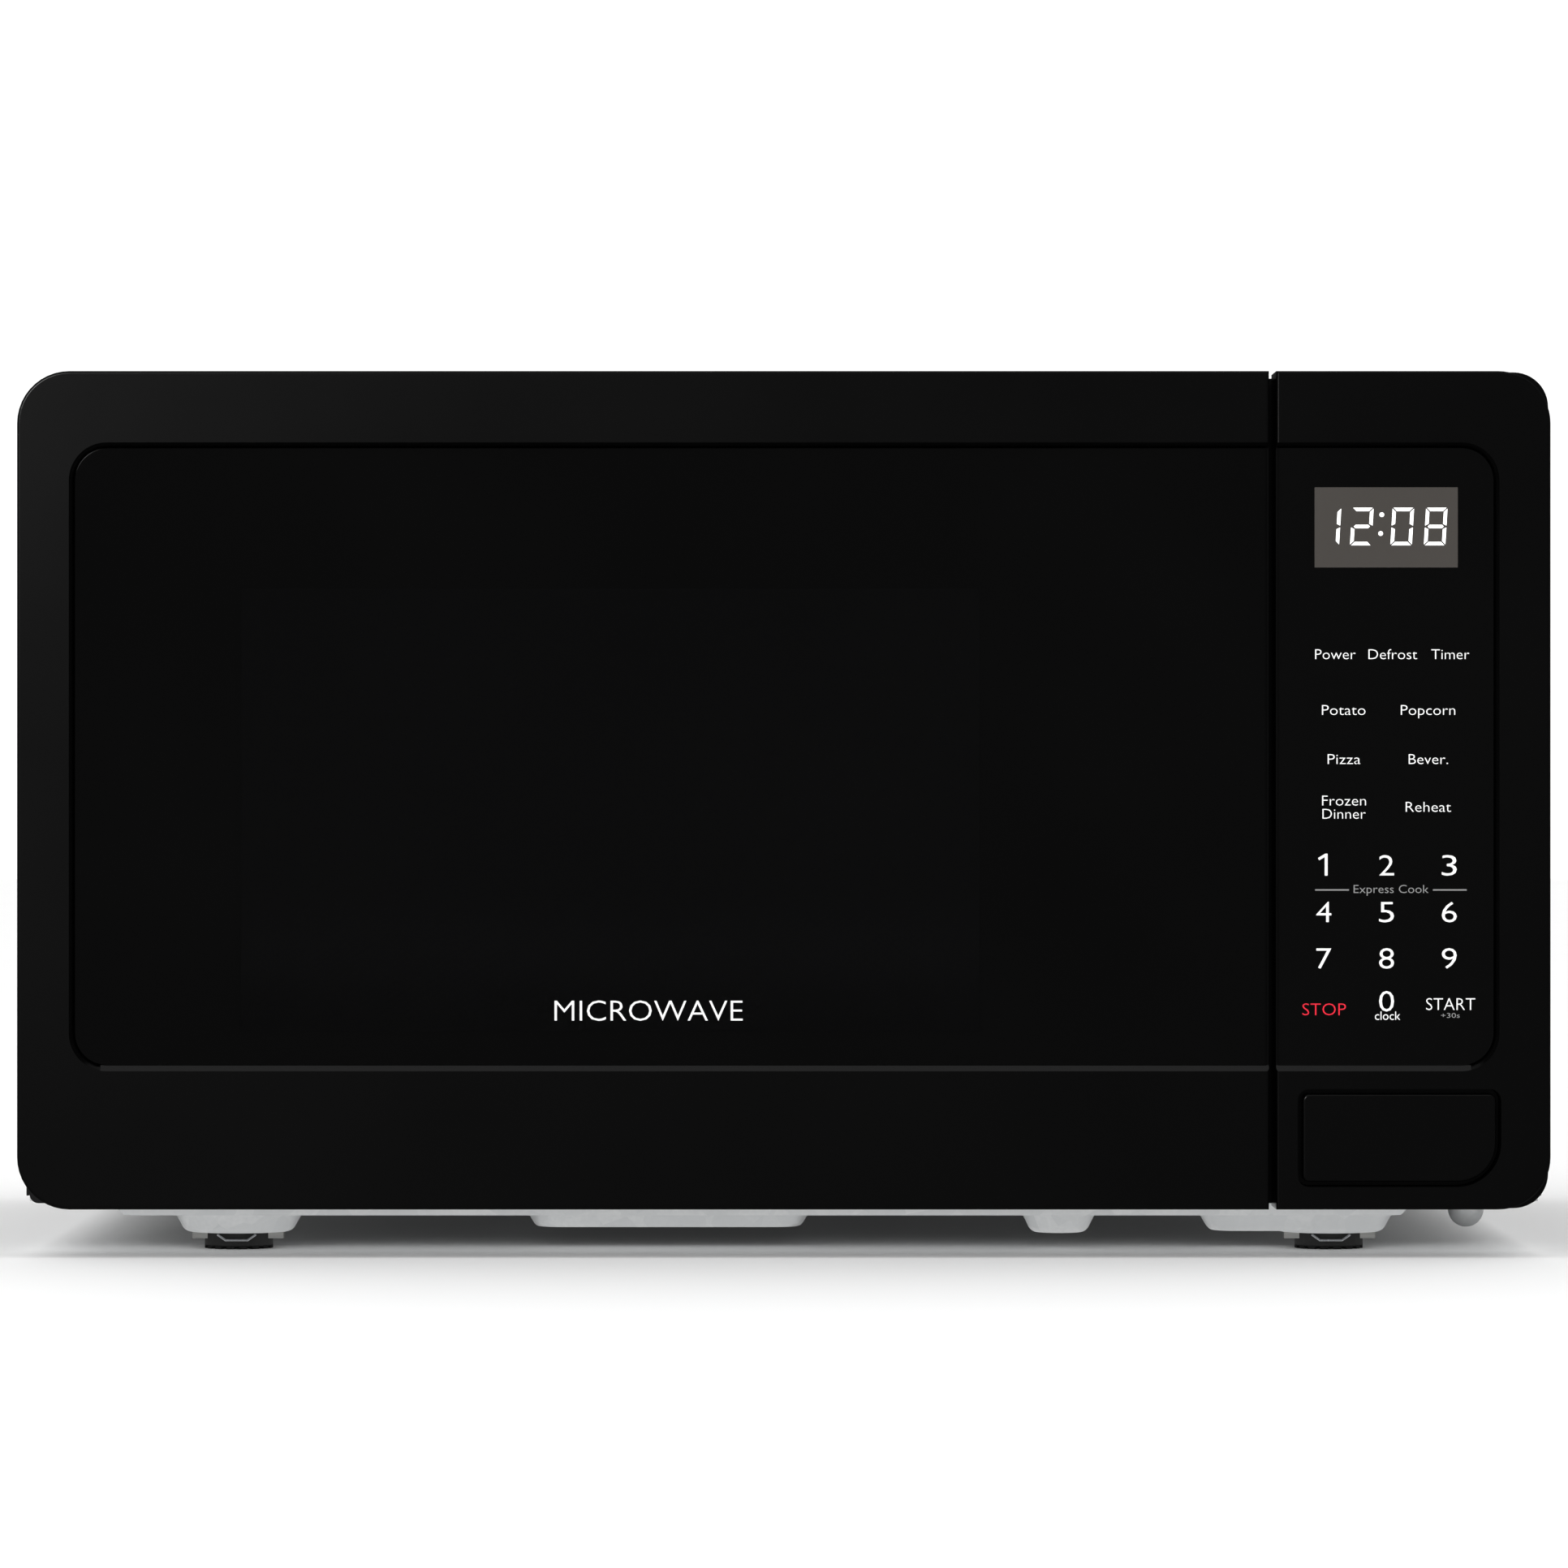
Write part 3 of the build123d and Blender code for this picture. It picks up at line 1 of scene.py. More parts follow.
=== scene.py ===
# %% [markdown]
# # A countertop microwave oven, finished in Blender
# The solids of the oven come from a CAD model that is loaded as a fixed frame: every node is
# already in its place, in metres, with +Z up and the front facing -Y. This lesson gives each
# node the finish of the real material, replaces the plain door screen with a perforated one,
# adds the printed legends and the clock, and sets up the light and the camera.

# %% Load the frame and keep its box
import math

import bmesh
import bpy
from mathutils import Matrix, Vector


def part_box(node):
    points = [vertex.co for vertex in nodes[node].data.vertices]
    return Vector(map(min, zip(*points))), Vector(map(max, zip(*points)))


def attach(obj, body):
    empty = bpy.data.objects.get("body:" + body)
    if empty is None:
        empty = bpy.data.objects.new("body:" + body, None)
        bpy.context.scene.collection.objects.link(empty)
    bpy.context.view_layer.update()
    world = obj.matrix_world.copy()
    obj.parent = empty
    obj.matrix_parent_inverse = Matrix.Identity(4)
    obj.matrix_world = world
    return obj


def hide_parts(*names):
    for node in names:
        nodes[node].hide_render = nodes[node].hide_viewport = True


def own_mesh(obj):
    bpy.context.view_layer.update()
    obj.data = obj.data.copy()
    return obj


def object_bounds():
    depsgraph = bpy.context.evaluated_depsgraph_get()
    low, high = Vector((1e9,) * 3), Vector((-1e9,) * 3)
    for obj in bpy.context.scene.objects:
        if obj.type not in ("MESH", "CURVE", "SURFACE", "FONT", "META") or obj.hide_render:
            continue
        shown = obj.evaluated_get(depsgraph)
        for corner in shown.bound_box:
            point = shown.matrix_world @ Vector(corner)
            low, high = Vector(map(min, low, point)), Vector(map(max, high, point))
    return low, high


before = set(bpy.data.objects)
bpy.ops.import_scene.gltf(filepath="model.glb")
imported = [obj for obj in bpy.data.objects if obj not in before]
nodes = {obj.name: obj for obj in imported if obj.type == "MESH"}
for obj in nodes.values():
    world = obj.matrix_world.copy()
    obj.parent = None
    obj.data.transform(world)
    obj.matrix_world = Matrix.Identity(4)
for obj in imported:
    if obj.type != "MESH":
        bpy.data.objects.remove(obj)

MM = 0.001
cad_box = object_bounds()
front_y = cad_box[0][1]
glass_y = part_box("door_glass")[0][1]
overlay_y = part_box("touch_overlay")[0][1]
print("nodes", len(nodes), "front at", round(front_y / MM, 2), "mm")

# %% [markdown]
# ## Helpers
# A finish is a small tree of shader nodes. One function adds a node, sets it up and links it,
# so that each finish below reads like a recipe. Colours are written the way a paint chart
# gives them, as sRGB hex values, and one function turns them into the linear values that the
# renderer works with.


# %% Colour and node helpers
def linear(code):
    """Turns an sRGB hex colour into linear RGBA."""
    values = [int(code[start:start + 2], 16) / 255 for start in (0, 2, 4)]
    curve = [v / 12.92 if v <= 0.04045 else ((v + 0.055) / 1.055) ** 2.4 for v in values]
    return (*curve, 1.0)


def put(tree, kind, inputs=None, **settings):
    """Adds one node, applies its settings, and fills or links its inputs."""
    node = tree.nodes.new(kind)
    for name, value in settings.items():
        setattr(node, name, value)
    for key, value in (inputs or {}).items():
        if isinstance(value, bpy.types.NodeSocket):
            tree.links.new(value, node.inputs[key])
        else:
            node.inputs[key].default_value = value
    return node


def start_finish(name, **constants):
    """Makes a material with one principled shader whose plain values are set on it."""
    finish = bpy.data.materials.new(name)
    finish.use_nodes = True
    tree = finish.node_tree
    tree.nodes.clear()
    shader = put(tree, "ShaderNodeBsdfPrincipled")
    for key, value in constants.items():
        shader.inputs[key.replace("_", " ")].default_value = value
    output = put(tree, "ShaderNodeOutputMaterial")
    tree.links.new(shader.outputs["BSDF"], output.inputs["Surface"])
    place = put(tree, "ShaderNodeTexCoord").outputs["Object"]
    return finish, tree, shader, place


def per_mm(size):
    """Texture scale that makes one feature this many millimetres wide."""
    return 1.0 / (size * MM)


print("helpers ready")

# %% [markdown]
# ## Moulded plastics
# Most of the front is injection-moulded ABS with a high-gloss black surface. A moulded face is
# never a perfect mirror: it has a faint orange peel from the way the melt cools, and a bare
# touch of haze that differs from place to place. The orange peel is a bump a few microns deep
# and about a millimetre wide. The haze is a slow noise on the roughness. The hidden pieces are
# the same plastics with a matt spark-eroded grain.


# %% Moulded plastic
def moulded(name, dark, light, rough, grain, depth, ior=1.53, haze=60.0):
    """Injection-moulded plastic: colour drift, haze in the gloss and a fine grain."""
    finish, tree, shader, place = start_finish(name, IOR=ior)
    drift = put(tree, "ShaderNodeTexNoise", {"Vector": place, "Scale": per_mm(haze), "Detail": 3.0})
    tone = put(tree, "ShaderNodeMix", {0: drift.outputs["Fac"], 6: linear(dark), 7: linear(light)},
               data_type="RGBA")
    gloss = put(tree, "ShaderNodeMapRange", {"Value": drift.outputs["Fac"], "From Min": 0.3,
                "From Max": 0.7, "To Min": rough[0], "To Max": rough[1]})
    peel = put(tree, "ShaderNodeTexNoise", {"Vector": place, "Scale": per_mm(grain), "Detail": 2.0})
    bump = put(tree, "ShaderNodeBump", {"Height": peel.outputs["Fac"], "Distance": depth * MM,
               "Strength": 1.0})
    tree.links.new(tone.outputs[2], shader.inputs["Base Color"])
    tree.links.new(gloss.outputs["Result"], shader.inputs["Roughness"])
    tree.links.new(bump.outputs["Normal"], shader.inputs["Normal"])
    return finish


# ABS from a polished tool: deep black, with a soft edge to everything it mirrors
gloss_black = moulded("gloss_black_abs", "010101", "020202", (0.24, 0.26), 1.4, 0.0012)
# Polycarbonate film over the keys: smoother than the frame, so its mirror is sharper
touch_film = moulded("touch_film_polycarbonate", "010101", "030303", (0.05, 0.09), 2.2, 0.0006,
                     1.58)
# Spark-eroded polypropylene: a fine grain that scatters the light and greys the black
matt_black = moulded("grained_black_polypropylene", "111112", "1A1A1B", (0.45, 0.60), 0.6, 0.02,
                     1.49)
# Unpainted ABS and nylon: milky whites, the nylon a shade yellower and waxier
white_abs = moulded("white_abs", "D9D8D0", "E6E5DE", (0.35, 0.48), 0.9, 0.006)
white_nylon = moulded("natural_nylon", "CFCBBD", "DCD9CC", (0.40, 0.52), 0.7, 0.008)
# Rubber feet: the dullest black, with hardly a highlight
foot_rubber = moulded("black_rubber", "0D0D0D", "1C1C1C", (0.65, 0.80), 0.5, 0.03, 1.52)
print("plastics", len(bpy.data.materials))

# %% [markdown]
# ## Sheet metal
# The outer case is steel sheet with a black powder coat: the powder melts into a fine, even
# orange peel, rougher than a moulding. The base, the rear panel and the brackets are
# galvanised: the zinc freezes in crystals called spangle, a few millimetres across, each of
# which mirrors the light a little differently. A Voronoi pattern gives one value for each
# crystal, and that value moves both the tone and the roughness.


# %% Powder coat
def coated(name, dark, light, rough, peel_size, depth):
    """Stoved paint on sheet steel."""
    finish, tree, shader, place = start_finish(name, IOR=1.5)
    cloud = put(tree, "ShaderNodeTexNoise", {"Vector": place, "Scale": per_mm(90), "Detail": 4.0})
    tone = put(tree, "ShaderNodeMix", {0: cloud.outputs["Fac"], 6: linear(dark), 7: linear(light)},
               data_type="RGBA")
    gloss = put(tree, "ShaderNodeMapRange", {"Value": cloud.outputs["Fac"], "From Min": 0.3,
                "From Max": 0.7, "To Min": rough[0], "To Max": rough[1]})
    peel = put(tree, "ShaderNodeTexVoronoi", {"Vector": place, "Scale": per_mm(peel_size)},
               feature="SMOOTH_F1")
    bump = put(tree, "ShaderNodeBump", {"Height": peel.outputs["Distance"],
               "Distance": depth * MM, "Strength": 0.8})
    tree.links.new(tone.outputs[2], shader.inputs["Base Color"])
    tree.links.new(gloss.outputs["Result"], shader.inputs["Roughness"])
    tree.links.new(bump.outputs["Normal"], shader.inputs["Normal"])
    return finish


# Epoxy powder on the case, enamel in the chamber and thin paint on the door's sheets
powder_black = coated("black_powder_coat", "0E0E0F", "151516", (0.38, 0.46), 0.9, 0.03)
chamber_enamel = coated("grey_chamber_enamel", "BDBCB6", "C9C8C2", (0.28, 0.36), 1.2, 0.015)
screen_black = coated("black_door_paint", "0B0B0B", "131313", (0.40, 0.50), 0.8, 0.02)


# %% Bare and plated metal
def spangled(name, dark, light, rough, crystal):
    """Galvanised sheet with frozen zinc crystals under a thin dull oxide skin."""
    oxide_dulled = 0.45  # the skin of oxide takes about half of the metal's mirror away
    finish, tree, shader, place = start_finish(name, Metallic=oxide_dulled)
    grain = put(tree, "ShaderNodeTexVoronoi", {"Vector": place, "Scale": per_mm(crystal),
                "Randomness": 1.0})
    value = put(tree, "ShaderNodeSeparateColor", {"Color": grain.outputs["Color"]})
    feather = put(tree, "ShaderNodeTexNoise", {"Vector": place, "Scale": per_mm(1.5),
                  "Detail": 4.0})
    blend = put(tree, "ShaderNodeMath", {0: value.outputs[0], 1: feather.outputs["Fac"]},
                operation="MULTIPLY")
    tone = put(tree, "ShaderNodeMix", {0: blend.outputs[0], 6: linear(dark), 7: linear(light)},
               data_type="RGBA")
    gloss = put(tree, "ShaderNodeMapRange", {"Value": value.outputs[1], "To Min": rough[0],
                "To Max": rough[1]})
    tree.links.new(tone.outputs[2], shader.inputs["Base Color"])
    tree.links.new(gloss.outputs["Result"], shader.inputs["Roughness"])
    return finish


def drawn(name, dark, light, rough, line, axis):
    """Metal with fine drawing or rolling lines along one axis."""
    finish, tree, shader, place = start_finish(name, Metallic=1.0)
    squeeze = [per_mm(line)] * 3
    squeeze[axis] = per_mm(line * 40)
    stretched = put(tree, "ShaderNodeMapping", {"Vector": place, "Scale": squeeze})
    lines = put(tree, "ShaderNodeTexNoise", {"Vector": stretched.outputs["Vector"], "Scale": 1.0,
                "Detail": 3.0})
    tone = put(tree, "ShaderNodeMix", {0: lines.outputs["Fac"], 6: linear(dark), 7: linear(light)},
               data_type="RGBA")
    gloss = put(tree, "ShaderNodeMapRange", {"Value": lines.outputs["Fac"], "To Min": rough[0],
                "To Max": rough[1]})
    bump = put(tree, "ShaderNodeBump", {"Height": lines.outputs["Fac"], "Distance": 0.004 * MM})
    tree.links.new(tone.outputs[2], shader.inputs["Base Color"])
    tree.links.new(gloss.outputs["Result"], shader.inputs["Roughness"])
    tree.links.new(bump.outputs["Normal"], shader.inputs["Normal"])
    return finish


# Galvanised sheet: pale grey with soft-edged crystals 7 mm across, half metal and half oxide
galvanised = spangled("galvanised_steel", "CDCFD0", "E2E3E3", (0.42, 0.52), 7.0)
# Bright plated, drawn and rolled metals: fine lines stretch each highlight across them
zinc_plate = drawn("zinc_plated_steel", "A6A7A6", "CFCFCB", (0.25, 0.42), 0.5, 0)
spring_wire = drawn("drawn_spring_steel", "8C8E92", "C9CBCE", (0.18, 0.32), 0.3, 2)
fin_aluminium = drawn("rolled_aluminium", "BFC1C3", "E0E1E2", (0.25, 0.40), 0.4, 1)
can_aluminium = drawn("impact_extruded_aluminium", "B4B6B8", "D5D6D7", (0.30, 0.45), 0.5, 2)
print("metals ready", len(bpy.data.materials))

# %% [markdown]
# ## Windings, laminations and castings
# The transformer and the fan motor are stacks of thin iron sheets, so their sides show a line
# for each sheet. The windings show the round backs of lacquered copper wires laid side by
# side. Both are a wave pattern with the pitch of the real sheet or wire, used as tone and bump.
# On the wires, the dark tone between their backs is painted shade.


# %% Layered materials
def layered(name, dark, light, rough, pitch, depth, metallic, direction):
    """Material built up in layers: one band for each sheet or wire."""
    finish, tree, shader, place = start_finish(name, Metallic=metallic)
    bands = put(tree, "ShaderNodeTexWave", {"Vector": place, "Scale": per_mm(pitch) / 20 * math.tau,
                "Distortion": 0.4, "Detail": 1.0, "Detail Scale": 2.0}, bands_direction=direction)
    tone = put(tree, "ShaderNodeMix", {0: bands.outputs["Fac"], 6: linear(dark), 7: linear(light)},
               data_type="RGBA")
    gloss = put(tree, "ShaderNodeMapRange", {"Value": bands.outputs["Fac"], "To Min": rough[1],
                "To Max": rough[0]})
    bump = put(tree, "ShaderNodeBump", {"Height": bands.outputs["Fac"], "Distance": depth * MM})
    tree.links.new(tone.outputs[2], shader.inputs["Base Color"])
    tree.links.new(gloss.outputs["Result"], shader.inputs["Roughness"])
    tree.links.new(bump.outputs["Normal"], shader.inputs["Normal"])
    return finish


# Lacquered copper is orange on the backs of the wires, with painted shade in the gaps between them,
# and varnished iron stays brown and dull
copper_winding = layered("lacquered_copper_wire", "6E2C14", "C4703E", (0.22, 0.40), 0.9, 0.2,
                         1.0, "Z")
iron_sheets = layered("varnished_iron_sheets", "3A3530", "6B6259", (0.40, 0.60), 0.8, 0.08,
                      1.0, "Y")
print("layered ready")


# %% Speckled materials
def speckled(name, dark, light, rough, size, metallic=0.0, ior=1.5):
    """Material with flakes or grains that catch the light one by one."""
    finish, tree, shader, place = start_finish(name, Metallic=metallic, IOR=ior)
    flakes = put(tree, "ShaderNodeTexVoronoi", {"Vector": place, "Scale": per_mm(size)})
    value = put(tree, "ShaderNodeSeparateColor", {"Color": flakes.outputs["Color"]})
    tone = put(tree, "ShaderNodeMix", {0: value.outputs[0], 6: linear(dark), 7: linear(light)},
               data_type="RGBA")
    gloss = put(tree, "ShaderNodeMapRange", {"Value": value.outputs[1], "To Min": rough[0],
                "To Max": rough[1]})
    tree.links.new(tone.outputs[2], shader.inputs["Base Color"])
    tree.links.new(gloss.outputs["Result"], shader.inputs["Roughness"])
    return finish


# Mica flakes glint one by one, ferrite is a dark ceramic, and the board is tan paper laminate
mica_sheet = speckled("pressed_mica_sheet", "9A8B6C", "CDBF9E", (0.25, 0.55), 2.5)
ferrite_ring = speckled("sintered_ferrite", "232426", "38393B", (0.45, 0.65), 0.4)
board_laminate = speckled("phenolic_board", "8A6A3A", "A07E48", (0.45, 0.55), 0.7)
print("speckled ready")

# %% [markdown]
# ## Glass
# The front glass is tinted and printed black on its rear side, apart from a clear window. The
# print is the surface seen through the glass, so the mask that opens the window acts on the
# transmission alone, while the polish stays the same all over. The window is read from the
# plate that holds the screen. The lamp, the turntable plate and the inner film are clear.


# %% Glasses
def clear_glass(name, tint, rough, ior, ripple, depth):
    """Clear or tinted glass with a faint ripple from the mould."""
    finish, tree, shader, place = start_finish(name, IOR=ior, Transmission_Weight=1.0)
    shade = put(tree, "ShaderNodeTexNoise", {"Vector": place, "Scale": per_mm(40), "Detail": 2.0})
    tone = put(tree, "ShaderNodeMix", {0: shade.outputs["Fac"], 6: linear(tint),
               7: linear("FFFFFF")}, data_type="RGBA")
    waves = put(tree, "ShaderNodeTexNoise", {"Vector": place, "Scale": per_mm(ripple)})
    gloss = put(tree, "ShaderNodeMapRange", {"Value": shade.outputs["Fac"], "To Min": rough[0],
                "To Max": rough[1]})
    bump = put(tree, "ShaderNodeBump", {"Height": waves.outputs["Fac"], "Distance": depth * MM})
    tree.links.new(tone.outputs[2], shader.inputs["Base Color"])
    tree.links.new(gloss.outputs["Result"], shader.inputs["Roughness"])
    tree.links.new(bump.outputs["Normal"], shader.inputs["Normal"])
    return finish


# Pressed glass is faintly green and rippled, and the film is flatter and a little hazy
tray_glass = clear_glass("tempered_tray_glass", "E4F0EA", (0.02, 0.05), 1.52, 9.0, 0.03)
lamp_glass = clear_glass("lamp_glass", "F6F2E8", (0.02, 0.06), 1.50, 6.0, 0.02)
inner_film = clear_glass("clear_polyester_film", "E6E6E2", (0.05, 0.12), 1.64, 25.0, 0.02)


def printed_glass(name, window_low, window_high, soft, tint):
    """Tinted glass with an opaque black print around a clear window."""
    finish, tree, shader, place = start_finish(name, IOR=1.52)
    middle = (window_low + window_high) / 2
    half = (window_high - window_low) / 2
    centred = put(tree, "ShaderNodeVectorMath", {0: place, 1: middle}, operation="SUBTRACT")
    folded = put(tree, "ShaderNodeVectorMath", {0: centred.outputs[0]}, operation="ABSOLUTE")
    axes = put(tree, "ShaderNodeSeparateXYZ", {0: folded.outputs[0]})
    inside = [put(tree, "ShaderNodeMapRange", {"Value": axes.outputs[axis],
              "From Min": half[axis] - soft, "From Max": half[axis], "To Min": 1.0,
              "To Max": 0.0}) for axis in (0, 2)]
    opening = put(tree, "ShaderNodeMath", {0: inside[0].outputs[0], 1: inside[1].outputs[0]},
                  operation="MULTIPLY")
    drift = put(tree, "ShaderNodeTexNoise", {"Vector": place, "Scale": per_mm(80), "Detail": 2.0})
    print_tone = put(tree, "ShaderNodeMix", {0: drift.outputs["Fac"], 6: linear("010101"),
                     7: linear("040404")}, data_type="RGBA")
    # The tint starts only where the glass is clear, or it would draw a pale line round the window
    clear = put(tree, "ShaderNodeMath", {0: opening.outputs[0], 1: 8.0}, operation="POWER")
    tone = put(tree, "ShaderNodeMix", {0: clear.outputs[0], 6: print_tone.outputs[2],
               7: linear(tint)}, data_type="RGBA")
    gloss = put(tree, "ShaderNodeMapRange", {"Value": drift.outputs["Fac"], "To Min": 0.015,
                "To Max": 0.04})
    tree.links.new(tone.outputs[2], shader.inputs["Base Color"])
    tree.links.new(opening.outputs[0], shader.inputs["Transmission Weight"])
    tree.links.new(gloss.outputs["Result"], shader.inputs["Roughness"])
    return finish


screen_low, screen_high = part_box("door_screen")
print_lap = 3.5 * MM  # how far the black print covers the edge of the screen behind it
window_edge = Vector((print_lap, 0.0, print_lap))
# Smoked glass: black where it is printed, and nearly as dark over the window
door_glass = printed_glass("smoked_printed_glass", screen_low + window_edge,
                           screen_high - window_edge, 0.8 * MM, "1E1E20")
# Acrylic filter over the clock: a warm mid grey when it is lit from in front
display_cover = moulded("grey_display_filter", "413E3B", "464340", (0.10, 0.16), 1.0, 0.0005,
                        1.49)
print("glasses ready", len(bpy.data.materials))

# %% [markdown]
# ## Inks and lit segments
# The legends are screen-printed in opaque white ink that lies as a thin skin on the overlay.
# The clock's segments glow, with a faint random unevenness in their tone.


# %% Inks
def ink(name, dark, light, rough=0.55):
    """Screen-printed ink with the fine unevenness of the mesh."""
    finish, tree, shader, place = start_finish(name, IOR=1.5, Roughness=rough)
    skin = put(tree, "ShaderNodeTexNoise", {"Vector": place, "Scale": per_mm(0.5), "Detail": 2.0})
    tone = put(tree, "ShaderNodeMix", {0: skin.outputs["Fac"], 6: linear(dark), 7: linear(light)},
               data_type="RGBA")
    tree.links.new(tone.outputs[2], shader.inputs["Base Color"])
    return finish


# Opaque inks: flat and matt on the glossy film, so that they read from any side
white_ink = ink("white_screen_ink", "EEEEEE", "FAFAFA")
grey_ink = ink("grey_screen_ink", "808080", "8E8E8E")
red_ink = ink("red_screen_ink", "DC0029", "F2042F")

lit_segment, tree, shader, place = start_finish("lit_clock_segment", Roughness=0.4,
                                                Emission_Strength=0.75)
glow = put(tree, "ShaderNodeTexNoise", {"Vector": place, "Scale": per_mm(1.2)})
tone = put(tree, "ShaderNodeMix", {0: glow.outputs["Fac"], 6: linear("F2F2F0"),
           7: linear("FFFFFF")}, data_type="RGBA")
tree.links.new(tone.outputs[2], shader.inputs["Emission Color"])
tree.links.new(tone.outputs[2], shader.inputs["Base Color"])
print("materials in all", len(bpy.data.materials))

# %% [markdown]
# ## Who wears what
# Each CAD node keeps its shape and only gets its finish, put into its own material slots.

# %% Give the finishes to the nodes
wearers = {
    gloss_black: ["control_panel", "open_button", "door_frame"],
    touch_film: ["touch_overlay"],
    door_glass: ["door_glass"],
    display_cover: ["display_window"],
    # The front plate wears the case's black powder. In the narrow gap round the door this black is
    # partly its paint and partly painted shade.
    powder_black: ["outer_case", "front_plate"],
    screen_black: ["door_plate", "door_screen"],
    matt_black: ["cord_bushing", "diode", "thermal_cutout", "door_switches", "choke_cover"],
    white_abs: ["fan_shroud", "fan_blade", "latch_board", "release_lever", "latch_hooks"],
    white_nylon: ["drive_coupler", "roller_ring", "roller_1", "roller_2", "roller_3",
                  "primary_plunger", "secondary_plunger", "monitor_plunger"],
    galvanised: ["base_plate", "rear_panel", "waveguide", "turntable_motor", "magnetron_yoke",
                 "magnetron_filter_box"],
    chamber_enamel: ["cavity_wrap", "cavity_floor", "cavity_back"],
    zinc_plate: ["capacitor_clamp", "case_screws", "hinge_lower", "hinge_upper",
                 "hinge_rivets", "foot_straps"],
    spring_wire: ["button_spring", "hook_spring", "foot_wires"],
    fin_aluminium: ["magnetron_fins"],
    can_aluminium: ["capacitor"],
    copper_winding: ["transformer_windings", "magnetron_anode"],
    iron_sheets: ["transformer_core", "fan_motor"],
    ferrite_ring: ["magnetron_magnets"],
    mica_sheet: ["waveguide_cover"],
    board_laminate: ["filter_board", "control_board"],
    tray_glass: ["glass_tray"],
    lamp_glass: ["oven_lamp"],
    inner_film: ["inner_window"],
    foot_rubber: ["feet"],
}
for finish, names in wearers.items():
    for name in names:
        slots = nodes[name].data.materials
        slots.clear()
        slots.append(finish)
bare = sorted(set(nodes) - {name for names in wearers.values() for name in names})
print("finished nodes", len(nodes) - len(bare), "left bare", bare)

# %% [markdown]
# ## Merged copies of the two springs
# Two coil springs are squeezed when the button is pushed: one behind the button and one above
# the latch hooks. A rigid spring would drive its far end into the sheet behind it. A merged,
# smooth copy of each CAD spring stands in for it. The copy is set under the button's or the
# door's body, and the CAD spring is hidden. The copies keep their length.


# %% Copy of a CAD spring
def spring_copy(node, name):
    """Makes a merged, smooth copy of a CAD spring."""
    shape = bmesh.new()
    shape.from_mesh(nodes[node].data)
    bmesh.ops.remove_doubles(shape, verts=shape.verts, dist=0.001 * MM)
    mesh = bpy.data.meshes.new(name)
    shape.to_mesh(mesh)
    shape.free()
    mesh.materials.append(spring_wire)
    mesh.polygons.foreach_set("use_smooth", [True] * len(mesh.polygons))
    piece = bpy.data.objects.new(name, mesh)
    bpy.context.scene.collection.objects.link(piece)
    return piece


# %% Copy the two springs
push_coil = spring_copy("button_spring", "button_coil")
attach(push_coil, "button")
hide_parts("button_spring")
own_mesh(push_coil)
hook_coil = spring_copy("hook_spring", "hook_coil")
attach(hook_coil, "door")
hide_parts("hook_spring")
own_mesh(hook_coil)
print("spring faces", len(push_coil.data.polygons), len(hook_coil.data.polygons))

# %% [markdown]
# ## The perforated screen
# Behind the glass sits a steel sheet with thousands of small holes, too small for the
# microwaves and large enough to look through. The holes stand in columns, every other column
# half a step down. One tile of sheet with one hole in it is made once and laid over the whole
# field by Geometry Nodes, then the tiles are welded into one sheet and given their thickness.

# %% Sizes of the screen
# The holes are drawn a little coarser than the finest real screens, so that they still show
column_step = 1.66 * MM
row_step = 2.16 * MM
hole_radius = 0.72 * MM
sheet = (screen_high.y - screen_low.y)
field_margin = Vector((6.2 * MM, 0.0, 6.8 * MM))
field_low = screen_low + field_margin
field_high = screen_high - field_margin
columns = int((field_high.x - field_low.x) / column_step)
rows = int((field_high.z - field_low.z) / row_step)
print("holes", columns * rows)


